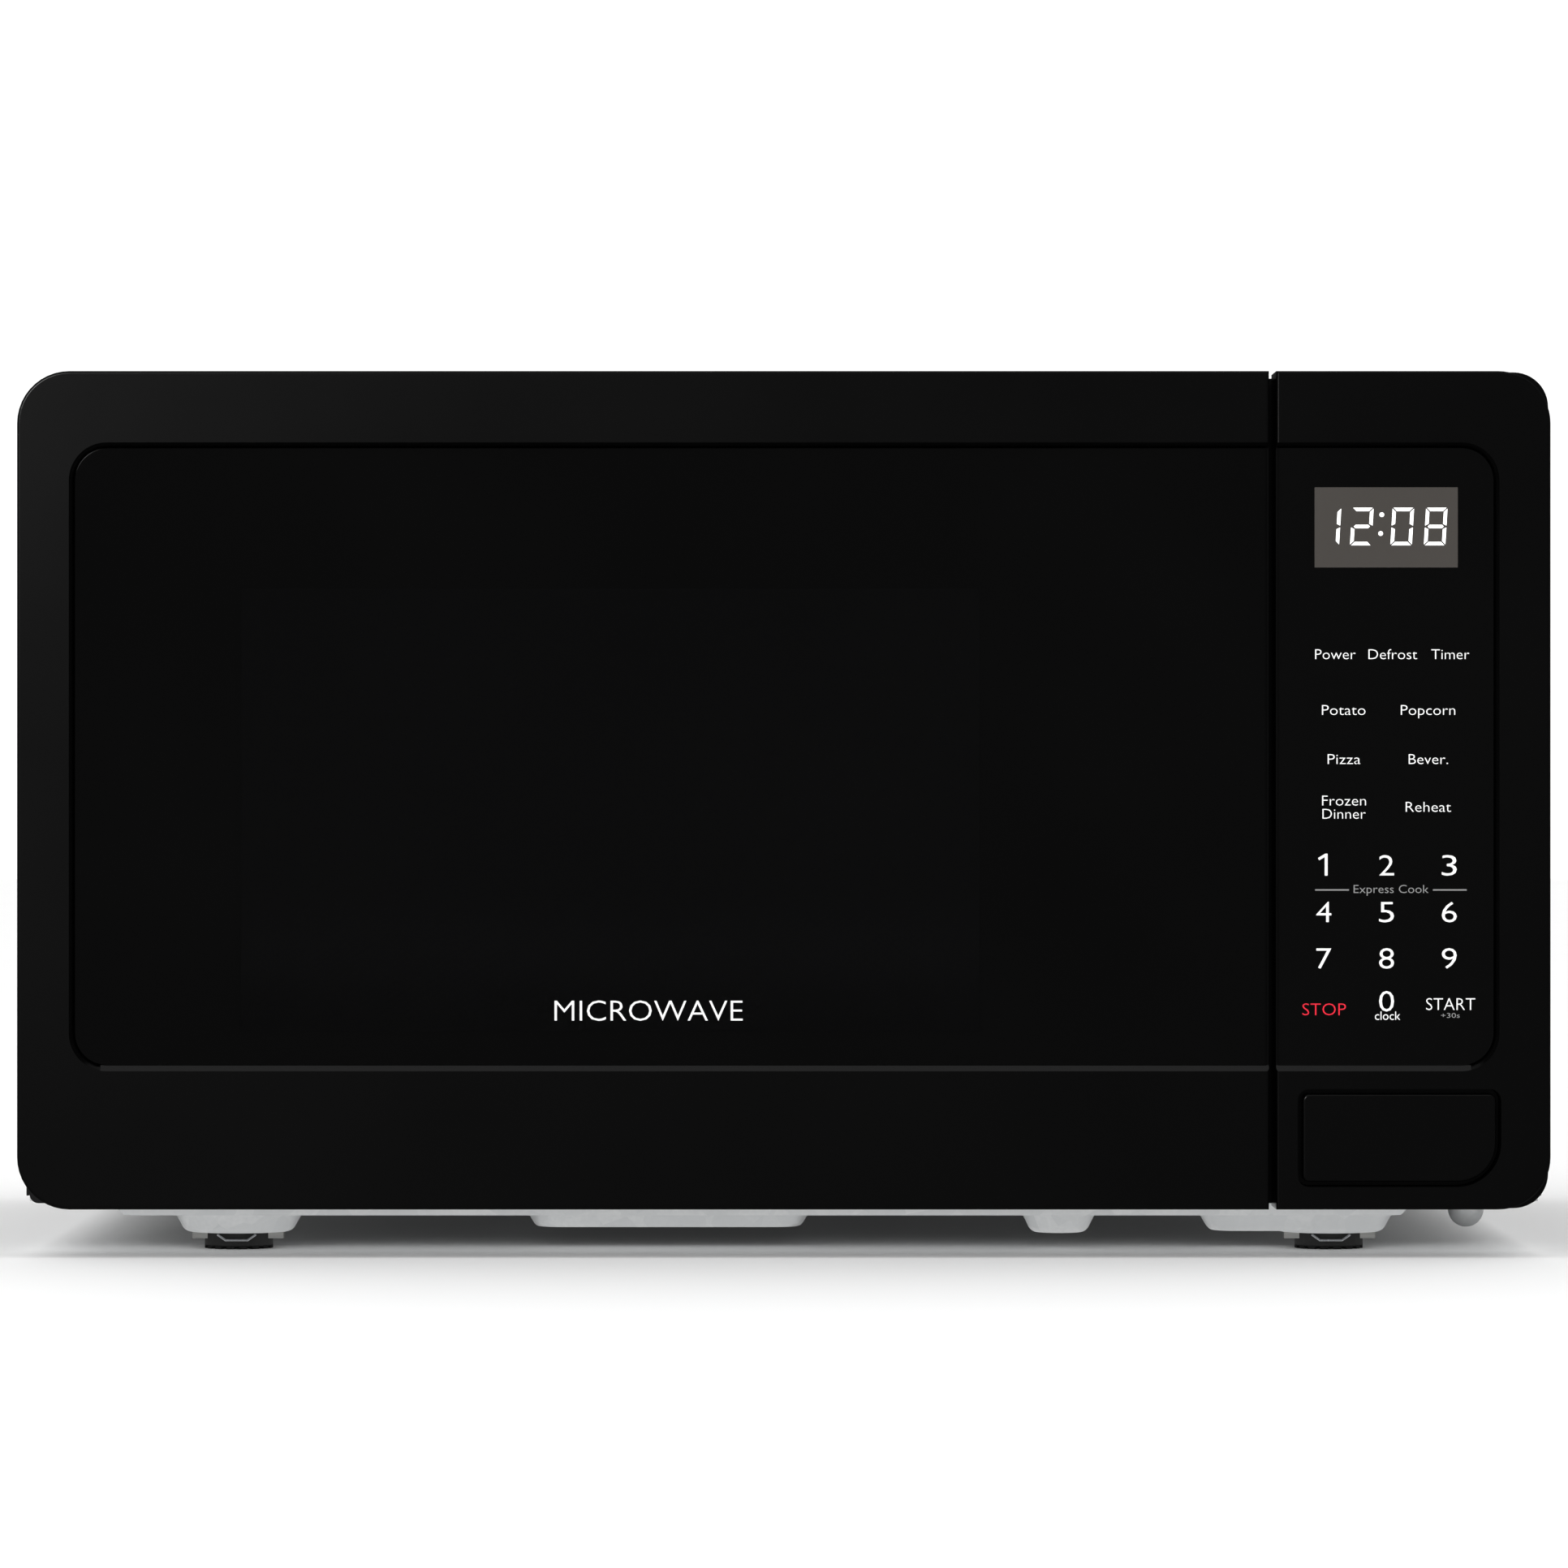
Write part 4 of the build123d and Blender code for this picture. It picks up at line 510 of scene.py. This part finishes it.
# %% Tree for one perforated sheet
def screen_tree():
    """Makes the node tree that lays, welds and thickens the tiles."""
    tree = bpy.data.node_groups.new("perforated_sheet", "GeometryNodeTree")
    face = tree.interface
    for name, kind in (("Columns", "NodeSocketInt"), ("Rows", "NodeSocketInt"),
                       ("Column step", "NodeSocketFloat"), ("Row step", "NodeSocketFloat"),
                       ("Hole radius", "NodeSocketFloat"), ("Thickness", "NodeSocketFloat"),
                       ("Finish", "NodeSocketMaterial")):
        face.new_socket(name, in_out="INPUT", socket_type=kind)
    face.new_socket("Geometry", in_out="OUTPUT", socket_type="NodeSocketGeometry")
    given = put(tree, "NodeGroupInput").outputs

    def sums(operation, first, second):
        return put(tree, "ShaderNodeMath", {0: first, 1: second}, operation=operation).outputs[0]

    tile_radius = sums("DIVIDE", given["Row step"], math.sqrt(3))
    squeeze = sums("DIVIDE", given["Column step"], sums("MULTIPLY", tile_radius, 1.5))
    tile = put(tree, "GeometryNodeMeshCircle", {"Vertices": 6, "Radius": tile_radius},
               fill_type="NGON")
    narrow = put(tree, "ShaderNodeCombineXYZ", {0: squeeze, 1: 1.0, 2: 1.0})
    tile = put(tree, "GeometryNodeTransform", {"Geometry": tile.outputs["Mesh"],
               "Scale": narrow.outputs[0]})
    ring = put(tree, "GeometryNodeExtrudeMesh", {"Mesh": tile.outputs[0], "Offset Scale": 0.0})
    place = put(tree, "GeometryNodeInputPosition").outputs[0]
    shrink = sums("DIVIDE", given["Hole radius"], tile_radius)
    round_x = sums("DIVIDE", shrink, squeeze)
    to_hole = put(tree, "ShaderNodeCombineXYZ", {0: round_x, 1: shrink, 2: 1.0})
    rim = put(tree, "ShaderNodeVectorMath", {0: place, 1: to_hole.outputs[0]}, operation="MULTIPLY")
    ring_shaped = put(tree, "GeometryNodeSetPosition", {"Geometry": ring.outputs["Mesh"],
                      "Selection": ring.outputs["Top"], "Position": rim.outputs[0]})
    ring_open = put(tree, "GeometryNodeDeleteGeometry", {"Geometry": ring_shaped.outputs[0],
                    "Selection": ring.outputs["Top"]}, domain="FACE")

    wide = sums("MULTIPLY", sums("SUBTRACT", given["Columns"], 1.0), given["Column step"])
    tall = sums("MULTIPLY", sums("SUBTRACT", given["Rows"], 1.0), given["Row step"])
    grid = put(tree, "GeometryNodeMeshGrid", {"Size X": wide, "Size Y": tall,
               "Vertices X": given["Columns"], "Vertices Y": given["Rows"]})
    index = put(tree, "GeometryNodeInputIndex").outputs[0]
    column = sums("FLOOR", sums("DIVIDE", index, given["Rows"]), 0.0)
    odd = sums("MODULO", column, 2.0)
    drop = sums("MULTIPLY", sums("MULTIPLY", odd, given["Row step"]), -0.5)
    step_down = put(tree, "ShaderNodeCombineXYZ", {1: drop})
    stagger = put(tree, "GeometryNodeSetPosition", {"Geometry": grid.outputs["Mesh"],
                  "Offset": step_down.outputs[0]})
    laid = put(tree, "GeometryNodeInstanceOnPoints", {"Points": stagger.outputs[0],
               "Instance": ring_open.outputs[0]})
    flat = put(tree, "GeometryNodeRealizeInstances", {"Geometry": laid.outputs[0]})
    welded = put(tree, "GeometryNodeMergeByDistance", {"Geometry": flat.outputs[0],
                 "Distance": 0.02 * MM})
    raised = put(tree, "GeometryNodeExtrudeMesh", {"Mesh": welded.outputs[0],
                 "Offset Scale": given["Thickness"], "Individual": False})
    rear = put(tree, "GeometryNodeFlipFaces", {"Mesh": welded.outputs[0]})
    both = put(tree, "GeometryNodeJoinGeometry")
    tree.links.new(raised.outputs["Mesh"], both.inputs[0])
    tree.links.new(rear.outputs[0], both.inputs[0])
    closed = put(tree, "GeometryNodeMergeByDistance", {"Geometry": both.outputs[0],
                 "Distance": 0.02 * MM})
    upright = put(tree, "GeometryNodeTransform", {"Geometry": closed.outputs[0],
                  "Rotation": (math.radians(90), 0.0, 0.0)})
    real = put(tree, "GeometryNodeRealizeInstances", {"Geometry": upright.outputs[0]})
    painted = put(tree, "GeometryNodeSetMaterial", {"Geometry": real.outputs[0],
                  "Material": given["Finish"]})
    output = put(tree, "NodeGroupOutput")
    tree.links.new(painted.outputs[0], output.inputs[0])
    return tree


perforated = screen_tree()
print("tree nodes", len(perforated.nodes))


# %% Run a tree and keep the result as a plain mesh
def grow(tree, name, settings, place=(0.0, 0.0, 0.0)):
    """Evaluates a node tree with the given inputs and returns a finished mesh object."""
    seed = bpy.data.objects.new(name + "_seed", bpy.data.meshes.new(name + "_seed"))
    bpy.context.scene.collection.objects.link(seed)
    modifier = seed.modifiers.new("grow", "NODES")
    modifier.node_group = tree
    sockets = {item.name: item.identifier for item in tree.interface.items_tree
               if item.in_out == "INPUT"}
    for key, value in settings.items():
        modifier[sockets[key]] = value
    graph = bpy.context.evaluated_depsgraph_get()
    mesh = bpy.data.meshes.new_from_object(seed.evaluated_get(graph))
    bpy.data.objects.remove(seed)
    mesh.transform(Matrix.Translation(place))
    piece = bpy.data.objects.new(name, mesh)
    bpy.context.scene.collection.objects.link(piece)
    return piece


def triangles(piece):
    """Counts the triangles that a mesh piece is made of."""
    return sum(len(polygon.vertices) - 2 for polygon in piece.data.polygons)


# %% Lay the two halves of the field
half_columns = columns // 2
screen_pieces = []
for side, name in ((-1, "perforated_screen_left"), (1, "perforated_screen_right")):
    centre_x = (field_low.x + field_high.x) / 2 + side * half_columns * column_step / 2
    piece = grow(perforated, name, {"Columns": half_columns, "Rows": rows,
                 "Column step": column_step, "Row step": row_step, "Hole radius": hole_radius,
                 "Thickness": sheet, "Finish": screen_black},
                 (centre_x, screen_high.y, (field_low.z + field_high.z) / 2))
    screen_pieces.append(piece)
    print(name, triangles(piece), "triangles")


# %% [markdown]
# The plain margin of the sheet is a frame a touch thicker than the field, which covers the
# ragged outer row of tiles. It is one closed ring made of two rectangles, front and rear.

# %% Plain margin round the field
def ring_piece(name, outer_low, outer_high, inner_low, inner_high, finish):
    """A flat closed frame between two rectangles that stand in the XZ plane."""
    mesh = bpy.data.meshes.new(name)
    shape = bmesh.new()
    loops = []
    for y in (outer_low.y, outer_high.y):
        for low, high in ((outer_low, outer_high), (inner_low, inner_high)):
            loops.append([shape.verts.new((x, y, z)) for x, z in (
                (low.x, low.z), (high.x, low.z), (high.x, high.z), (low.x, high.z))])
    front_outer, front_inner, rear_outer, rear_inner = loops
    for first, second in ((front_outer, front_inner), (rear_inner, rear_outer),
                          (rear_outer, front_outer), (front_inner, rear_inner)):
        for i in range(4):
            j = (i + 1) % 4
            shape.faces.new((first[i], first[j], second[j], second[i]))
    bmesh.ops.recalc_face_normals(shape, faces=shape.faces)
    shape.to_mesh(mesh)
    shape.free()
    mesh.materials.append(finish)
    piece = bpy.data.objects.new(name, mesh)
    bpy.context.scene.collection.objects.link(piece)
    return piece


proud = Vector((0.0, 0.04 * MM, 0.0))
inner_low = field_low + Vector((0.4 * MM, 0.0, 0.4 * MM))
inner_high = field_high - Vector((0.4 * MM, 0.0, 0.4 * MM))
margin = ring_piece("screen_margin", screen_low - proud, screen_high + proud,
                    inner_low, inner_high, screen_black)
screen_pieces.append(margin)
for piece in screen_pieces:
    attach(piece, "door")
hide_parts("door_screen")
print("screen pieces", len(screen_pieces))

# %% [markdown]
# ## Pan-head screws
# The case is held by seven pan-head screws with cross recesses. The head is a short drum with a
# shallow cone on it, and the recess is a cross cut out of it. One head is made by the tree and
# set at each place, read from the CAD node's own separate heads.


# %% Separate pieces of a CAD node
def islands(node):
    """Gives the lowest and highest corner of each separate piece in a CAD node."""
    shape = bmesh.new()
    shape.from_mesh(nodes[node].data)
    bmesh.ops.remove_doubles(shape, verts=shape.verts, dist=0.001 * MM)
    waiting = set(shape.verts)
    boxes = []
    while waiting:
        edge = [waiting.pop()]
        group = list(edge)
        while edge:
            vert = edge.pop()
            for link in vert.link_edges:
                other = link.other_vert(vert)
                if other in waiting:
                    waiting.remove(other)
                    edge.append(other)
                    group.append(other)
        boxes.append((Vector([min(v.co[a] for v in group) for a in range(3)]),
                      Vector([max(v.co[a] for v in group) for a in range(3)])))
    shape.free()
    return sorted(boxes, key=lambda box: (round(box[0].z, 4), round(box[0].x, 4)))


screw_boxes = islands("case_screws")
print("screws", len(screw_boxes), "head", [round(v / MM, 2) for v in
      screw_boxes[0][1] - screw_boxes[0][0]])


# %% Tree for one screw
def screw_tree():
    """Makes the node tree for a screw lying along Y with its head towards +Y."""
    tree = bpy.data.node_groups.new("pan_head_screw", "GeometryNodeTree")
    face = tree.interface
    for name, kind in (("Head radius", "NodeSocketFloat"), ("Head height", "NodeSocketFloat"),
                       ("Shank radius", "NodeSocketFloat"), ("Shank length", "NodeSocketFloat"),
                       ("Recess width", "NodeSocketFloat"), ("Finish", "NodeSocketMaterial")):
        face.new_socket(name, in_out="INPUT", socket_type=kind)
    face.new_socket("Geometry", in_out="OUTPUT", socket_type="NodeSocketGeometry")
    given = put(tree, "NodeGroupInput").outputs

    def share(name, amount):
        return put(tree, "ShaderNodeMath", {0: given[name], 1: amount},
                   operation="MULTIPLY").outputs[0]

    def turned(radius_low, radius_top, depth, start):
        cone = put(tree, "GeometryNodeMeshCone", {"Vertices": 24, "Radius Bottom": radius_low,
                   "Radius Top": radius_top, "Depth": depth})
        lift = put(tree, "ShaderNodeCombineXYZ", {2: start})
        return put(tree, "GeometryNodeTransform", {"Geometry": cone.outputs["Mesh"],
                   "Translation": lift.outputs[0]}).outputs[0]

    drum = turned(given["Head radius"], given["Head radius"], share("Head height", 0.55), 0.0)
    crown = turned(given["Head radius"], share("Head radius", 0.72), share("Head height", 0.45),
                   share("Head height", 0.55))
    shank = turned(share("Shank radius", 0.6), given["Shank radius"], given["Shank length"],
                   share("Shank length", -1.0))
    whole = put(tree, "GeometryNodeMeshBoolean", operation="UNION", solver="EXACT")
    for solid in (drum, crown, shank):
        tree.links.new(solid, whole.inputs["Mesh 2"])
    arms = []
    for long_side, short_side in ((0, 1), (1, 0)):
        size = put(tree, "ShaderNodeCombineXYZ", {long_side: share("Head radius", 1.0),
                   short_side: given["Recess width"], 2: share("Head height", 1.2)})
        arm = put(tree, "GeometryNodeMeshCube", {"Size": size.outputs[0]})
        up = put(tree, "ShaderNodeCombineXYZ", {2: share("Head height", 1.0)})
        arms.append(put(tree, "GeometryNodeTransform", {"Geometry": arm.outputs["Mesh"],
                    "Translation": up.outputs[0]}).outputs[0])
    cut = put(tree, "GeometryNodeMeshBoolean", {"Mesh 1": whole.outputs["Mesh"]},
              operation="DIFFERENCE", solver="EXACT")
    for arm in arms:
        tree.links.new(arm, cut.inputs["Mesh 2"])
    point_out = put(tree, "GeometryNodeTransform", {"Geometry": cut.outputs["Mesh"],
                    "Rotation": (math.radians(-90), 0.0, 0.0)})
    real = put(tree, "GeometryNodeRealizeInstances", {"Geometry": point_out.outputs[0]})
    painted = put(tree, "GeometryNodeSetMaterial", {"Geometry": real.outputs[0],
                  "Material": given["Finish"]})
    output = put(tree, "NodeGroupOutput")
    tree.links.new(painted.outputs[0], output.inputs[0])
    return tree


# %% Set the screws
pan_head = screw_tree()
for number, (low, high) in enumerate(screw_boxes, 1):
    width = high.x - low.x
    head, shank, recess = 2.2 * MM, 1.8 * MM, 1.0 * MM
    place = ((low.x + high.x) / 2, high.y - head, (low.z + high.z) / 2)
    piece = grow(pan_head, f"case_screw_{number}", {"Head radius": width / 2, "Head height": head,
                 "Shank radius": shank, "Shank length": high.y - low.y - head,
                 "Recess width": recess, "Finish": zinc_plate}, place)
    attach(piece, "root")
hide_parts("case_screws")

# %% [markdown]
# ## Printed legends
# The control legends are plain words and numbers printed on the overlay in three rows of
# programmes and a number pad. A legend starts as text, is made into a mesh with a little body,
# and is then fitted to its printed width and cap height and stood up on the overlay's face.


# %% Text as a printed mesh
def lettering(words, width, cap, finish, centre_x, base_z, face_y, thinner=0.012):
    """Makes one printed word of a given width and cap height, standing on a face."""
    curve = bpy.data.curves.new("letters", "FONT")
    curve.body = words
    curve.align_x = "CENTER"
    curve.resolution_u = 3
    curve.extrude = 0.01
    curve.offset = -thinner
    carrier = bpy.data.objects.new("letters", curve)
    bpy.context.scene.collection.objects.link(carrier)
    graph = bpy.context.evaluated_depsgraph_get()
    mesh = bpy.data.meshes.new_from_object(carrier.evaluated_get(graph))
    bpy.data.objects.remove(carrier)
    across = [v.co.x for v in mesh.vertices]
    capital = 0.729  # the height of a capital in the built-in face, at a text size of 1
    wide = width / (max(across) - min(across))
    middle = (max(across) + min(across)) / 2
    for vertex in mesh.vertices:
        x, y, z = vertex.co
        vertex.co = (centre_x + (x - middle) * wide, face_y - (z + 0.01) * MM,
                     base_z + y * cap / capital)
    mesh.materials.clear()
    mesh.materials.append(finish)
    piece = bpy.data.objects.new("letters", mesh)
    bpy.context.scene.collection.objects.link(piece)
    return piece


def join(pieces, name):
    """Joins several mesh objects into one with a plain name."""
    with bpy.context.temp_override(active_object=pieces[0], object=pieces[0],
                                   selected_objects=pieces, selected_editable_objects=pieces):
        bpy.ops.object.join()
    pieces[0].name = name
    pieces[0].data.name = name
    return pieces[0]


# %% The words on the overlay
small_cap = 3.1
programmes = [("Power", 158.3, 171.9, 11.6), ("Defrost", 174.8, 171.9, 14.0),
              ("Timer", 191.3, 171.9, 10.9), ("Potato", 160.7, 155.9, 12.5),
              ("Popcorn", 184.9, 155.9, 15.6), ("Pizza", 160.8, 141.8, 9.4),
              ("Bever.", 185.0, 141.8, 11.3), ("Frozen", 160.8, 129.9, 12.6),
              ("Dinner", 160.8, 126.1, 12.4), ("Reheat", 185.0, 128.1, 13.0)]
legends = [lettering(words, width * MM, small_cap * MM, white_ink, x * MM, z * MM, overlay_y)
           for words, x, z, width in programmes]
pad_columns = (155.0, 173.0, 191.0)
pad_rows = (109.8, 96.4, 83.1)
for number in range(2, 10):
    row, column = divmod(number - 1, 3)
    legends.append(lettering(str(number), 4.3 * MM, 6.3 * MM, white_ink,
                             pad_columns[column] * MM, pad_rows[row] * MM, overlay_y, 0.008))
legends.append(lettering("0", 4.3 * MM, 6.3 * MM, white_ink, pad_columns[1] * MM, 70.8 * MM,
                         overlay_y, 0.008))
legends.append(lettering("START", 14.1 * MM, 3.7 * MM, white_ink, 191.4 * MM, 71.2 * MM,
                         overlay_y))
legends.append(lettering("clock", 7.3 * MM, 2.6 * MM, white_ink, 173.3 * MM, 68.4 * MM, overlay_y,
                         0.004))


# %% Plain printed shapes
def printed_shape(name, outline, finish, face_y):
    """A thin printed patch with a given outline of (x, z) points in millimetres."""
    shape = bmesh.new()
    rings = [[shape.verts.new((x * MM, face_y - lift * MM, z * MM)) for x, z in outline]
             for lift in (0.02, 0.0)]
    shape.faces.new(rings[0])
    shape.faces.new(list(reversed(rings[1])))
    for i in range(len(outline)):
        j = (i + 1) % len(outline)
        shape.faces.new((rings[0][j], rings[0][i], rings[1][i], rings[1][j]))
    bmesh.ops.recalc_face_normals(shape, faces=shape.faces)
    mesh = bpy.data.meshes.new(name)
    shape.to_mesh(mesh)
    shape.free()
    mesh.materials.append(finish)
    piece = bpy.data.objects.new(name, mesh)
    bpy.context.scene.collection.objects.link(piece)
    return piece


one_left, one_base, one_tall = 153.3, pad_rows[0], 6.3
one = [(0.31, 0.0), (0.44, 0.0), (0.44, 1.0), (0.33, 1.0), (0.0, 0.80), (0.06, 0.70),
       (0.31, 0.85)]
one = [(one_left + x * one_tall, one_base + z * one_tall) for x, z in one]
legends.append(printed_shape("figure_one", one, white_ink, overlay_y))
legend_count = len(legends)
white_legends = join(legends, "white_legends")

grey = [lettering("Express Cook", 21.5 * MM, 2.5 * MM, grey_ink, 174.3 * MM, 104.8 * MM, overlay_y,
                  0.008),
        lettering("+30s", 5.4 * MM, 1.45 * MM, grey_ink, 191.3 * MM, 69.0 * MM, overlay_y, 0.004)]
for start, end in ((152.5, 162.2), (186.3, 196.0)):
    grey.append(printed_shape("rule", [(start, 105.5), (end, 105.5), (end, 105.9), (start, 105.9)],
                              grey_ink, overlay_y))
grey_legends = join(grey, "grey_legends")
red_legend = lettering("STOP", 12.5 * MM, 3.7 * MM, red_ink, 155.1 * MM, 69.7 * MM, overlay_y)
red_legend.name = "stop_legend"
for piece in (white_legends, grey_legends, red_legend):
    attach(piece, "root")
print("white legends", legend_count, "words and numbers")

door_word = lettering("MICROWAVE", 54.0 * MM, 6.3 * MM, white_ink, -38.8 * MM, 68.1 * MM, glass_y)
door_word.name = "door_word"
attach(door_word, "door")

# %% [markdown]
# ## The clock
# The clock has seven-segment digits that lean a little to the right. The outer segments are
# cut at 45 degrees where they meet and stand a hair apart, and the middle one is a long hexagon.
# Each segment is a closed thin prism in front of the display's filter.

# %% Segments
display_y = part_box("display_window")[0][1] / MM
lit = {"0": "abcdef", "1": "bc", "2": "abged", "8": "abcdefg"}
digit_base, digit_tall, digit_wide = 204.6, 10.8, 6.15
thick, gap, lean = 1.0, 0.26, 0.06


def segment_outlines():
    """Gives the outline of each segment of a digit, in millimetres from its lower left."""
    w, h, t, g, m = digit_wide, digit_tall, thick, gap, digit_tall / 2
    top = [(g, h), (w - g, h), (w - t - g, h - t), (t + g, h - t)]
    upper = [(0, m + g), (t, m + t / 2 + g), (t, h - t - g), (0, h - g)]
    bar = [(t / 2 + g, m), (t + g, m + t / 2), (w - t - g, m + t / 2), (w - t / 2 - g, m),
           (w - t - g, m - t / 2), (t + g, m - t / 2)]

    def turned_over(points):
        return [(x, h - z) for x, z in points]

    def other_side(points):
        return [(w - x, z) for x, z in points]

    lower = turned_over(upper)
    return {"a": top, "b": other_side(upper), "c": other_side(lower), "d": turned_over(top),
            "e": lower, "f": upper, "g": bar}


outlines = segment_outlines()
segments = []
dot_radius, dot_corners = 0.68, 20
for figure, left in (("1", 153.2), ("2", 162.5), ("0", 174.1), ("8", 183.7)):
    for key in lit[figure]:
        points = [(left + x + z * lean, digit_base + z) for x, z in outlines[key]]
        segments.append(printed_shape("segment", points, lit_segment, display_y * MM))
for rise in (3.4, 8.8):
    turns = [math.tau * i / dot_corners for i in range(dot_corners)]
    ring = [(171.1 + rise * lean + dot_radius * math.cos(turn),
             digit_base + rise + dot_radius * math.sin(turn)) for turn in turns]
    segments.append(printed_shape("dot", ring, lit_segment, display_y * MM))
clock = join(segments, "clock_digits")
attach(clock, "root")
print("clock faces", len(clock.data.polygons))

# %% [markdown]
# ## Stage
# The oven stands on a pale floor in a pale room. The front is polished black and shows
# whatever stands before it, so the floor is kept out of its reflections and the room shows in
# them as a dark grey. The zinc under the oven would go dark with it, so a low light table in
# front shines on those pieces alone.


# %% Floor and room
def board_on_stage(name, low, high, level, dark, light, rough):
    """A flat stage board with a slightly uneven matt paint."""
    mesh = bpy.data.meshes.new(name)
    mesh.from_pydata([(low[0], low[1], level), (high[0], low[1], level),
                      (high[0], high[1], level), (low[0], high[1], level)], [], [(0, 1, 2, 3)])
    finish, tree, shader, place = start_finish(name, Roughness=rough)
    cloud = put(tree, "ShaderNodeTexNoise", {"Vector": place, "Scale": per_mm(400)})
    tone = put(tree, "ShaderNodeMix", {0: cloud.outputs["Fac"], 6: linear(dark), 7: linear(light)},
               data_type="RGBA")
    tree.links.new(tone.outputs[2], shader.inputs["Base Color"])
    mesh.materials.append(finish)
    board = bpy.data.objects.new(name, mesh)
    bpy.context.scene.collection.objects.link(board)
    return board


floor = board_on_stage("pale_floor", (-8.0, -6.0), (8.0, 9.0), 0.0, "FAFAFA", "FDFDFD", 0.8)
floor.visible_glossy = False

room = bpy.data.worlds.new("pale_room")
bpy.context.scene.world = room
room.use_nodes = True
room.node_tree.nodes.clear()
ray = put(room.node_tree, "ShaderNodeLightPath")
seen = put(room.node_tree, "ShaderNodeMix", {0: ray.outputs["Is Glossy Ray"],
           6: linear("FFFFFF"), 7: linear("414141")}, data_type="RGBA")
sky = put(room.node_tree, "ShaderNodeBackground", {"Color": seen.outputs[2], "Strength": 1.15})
put(room.node_tree, "ShaderNodeOutputWorld", {"Surface": sky.outputs[0]})
print("stage ready")


# %% Lamps
def softbox(name, place, aim, size, power, glossy=True):
    """A rectangular area lamp that faces a point."""
    lamp = bpy.data.lights.new(name, "AREA")
    lamp.shape = "RECTANGLE"
    lamp.size, lamp.size_y = size
    lamp.energy = power
    carrier = bpy.data.objects.new(name, lamp)
    carrier.location = place
    carrier.rotation_euler = (Vector(aim) - Vector(place)).to_track_quat("-Z", "Y").to_euler()
    carrier.visible_glossy = glossy
    bpy.context.scene.collection.objects.link(carrier)
    return carrier


# Each lamp's place, aim and size are in metres and its power in watts
softbox("key_left", (-1.0, -2.2, 0.95), (-0.1, -0.2, 0.15), (0.8, 0.8), 11.0)
softbox("overhead_strip", (0.0, -0.5, 1.8), (0.0, 0.0, 0.1), (1.6, 0.9), 1.6)
softbox("front_fill", (0.0, -3.2, 0.5), (0.0, 0.0, 0.1), (2.0, 1.0), 10.0, glossy=False)
table = softbox("light_table", (0.0, -0.26, 0.001), (0.0, -0.26, 1.0), (0.7, 0.3), 0.3)
table.visible_camera = False
zinc_pieces = bpy.data.collections.new("zinc_pieces")
for name in ("base_plate", "foot_straps", "foot_wires", "feet"):
    zinc_pieces.objects.link(nodes[name])
table.light_linking.receiver_collection = zinc_pieces
print("lamps", len(bpy.data.lights))

# %% [markdown]
# ## Camera
# A long lens, level and square to the front, at a little over half the oven's height. It stands
# 2.3 m from the door, far enough away that the sides hardly show.

# %% Camera
lens = bpy.data.cameras.new("product_camera")
lens.sensor_width = 36.0  # mm
lens.lens = 184.1  # mm: the oven's width fills most of the frame from 2.3 m
lens.clip_end = 50.0
camera = bpy.data.objects.new("product_camera", lens)
stand_off, eye_level = 2.3, 0.1361
camera.location = (0.00006, front_y - stand_off, eye_level)
camera.rotation_euler = (math.radians(90), 0.0, 0.0)
bpy.context.scene.collection.objects.link(camera)
bpy.context.scene.camera = camera
bpy.context.scene.view_settings.view_transform = "Standard"
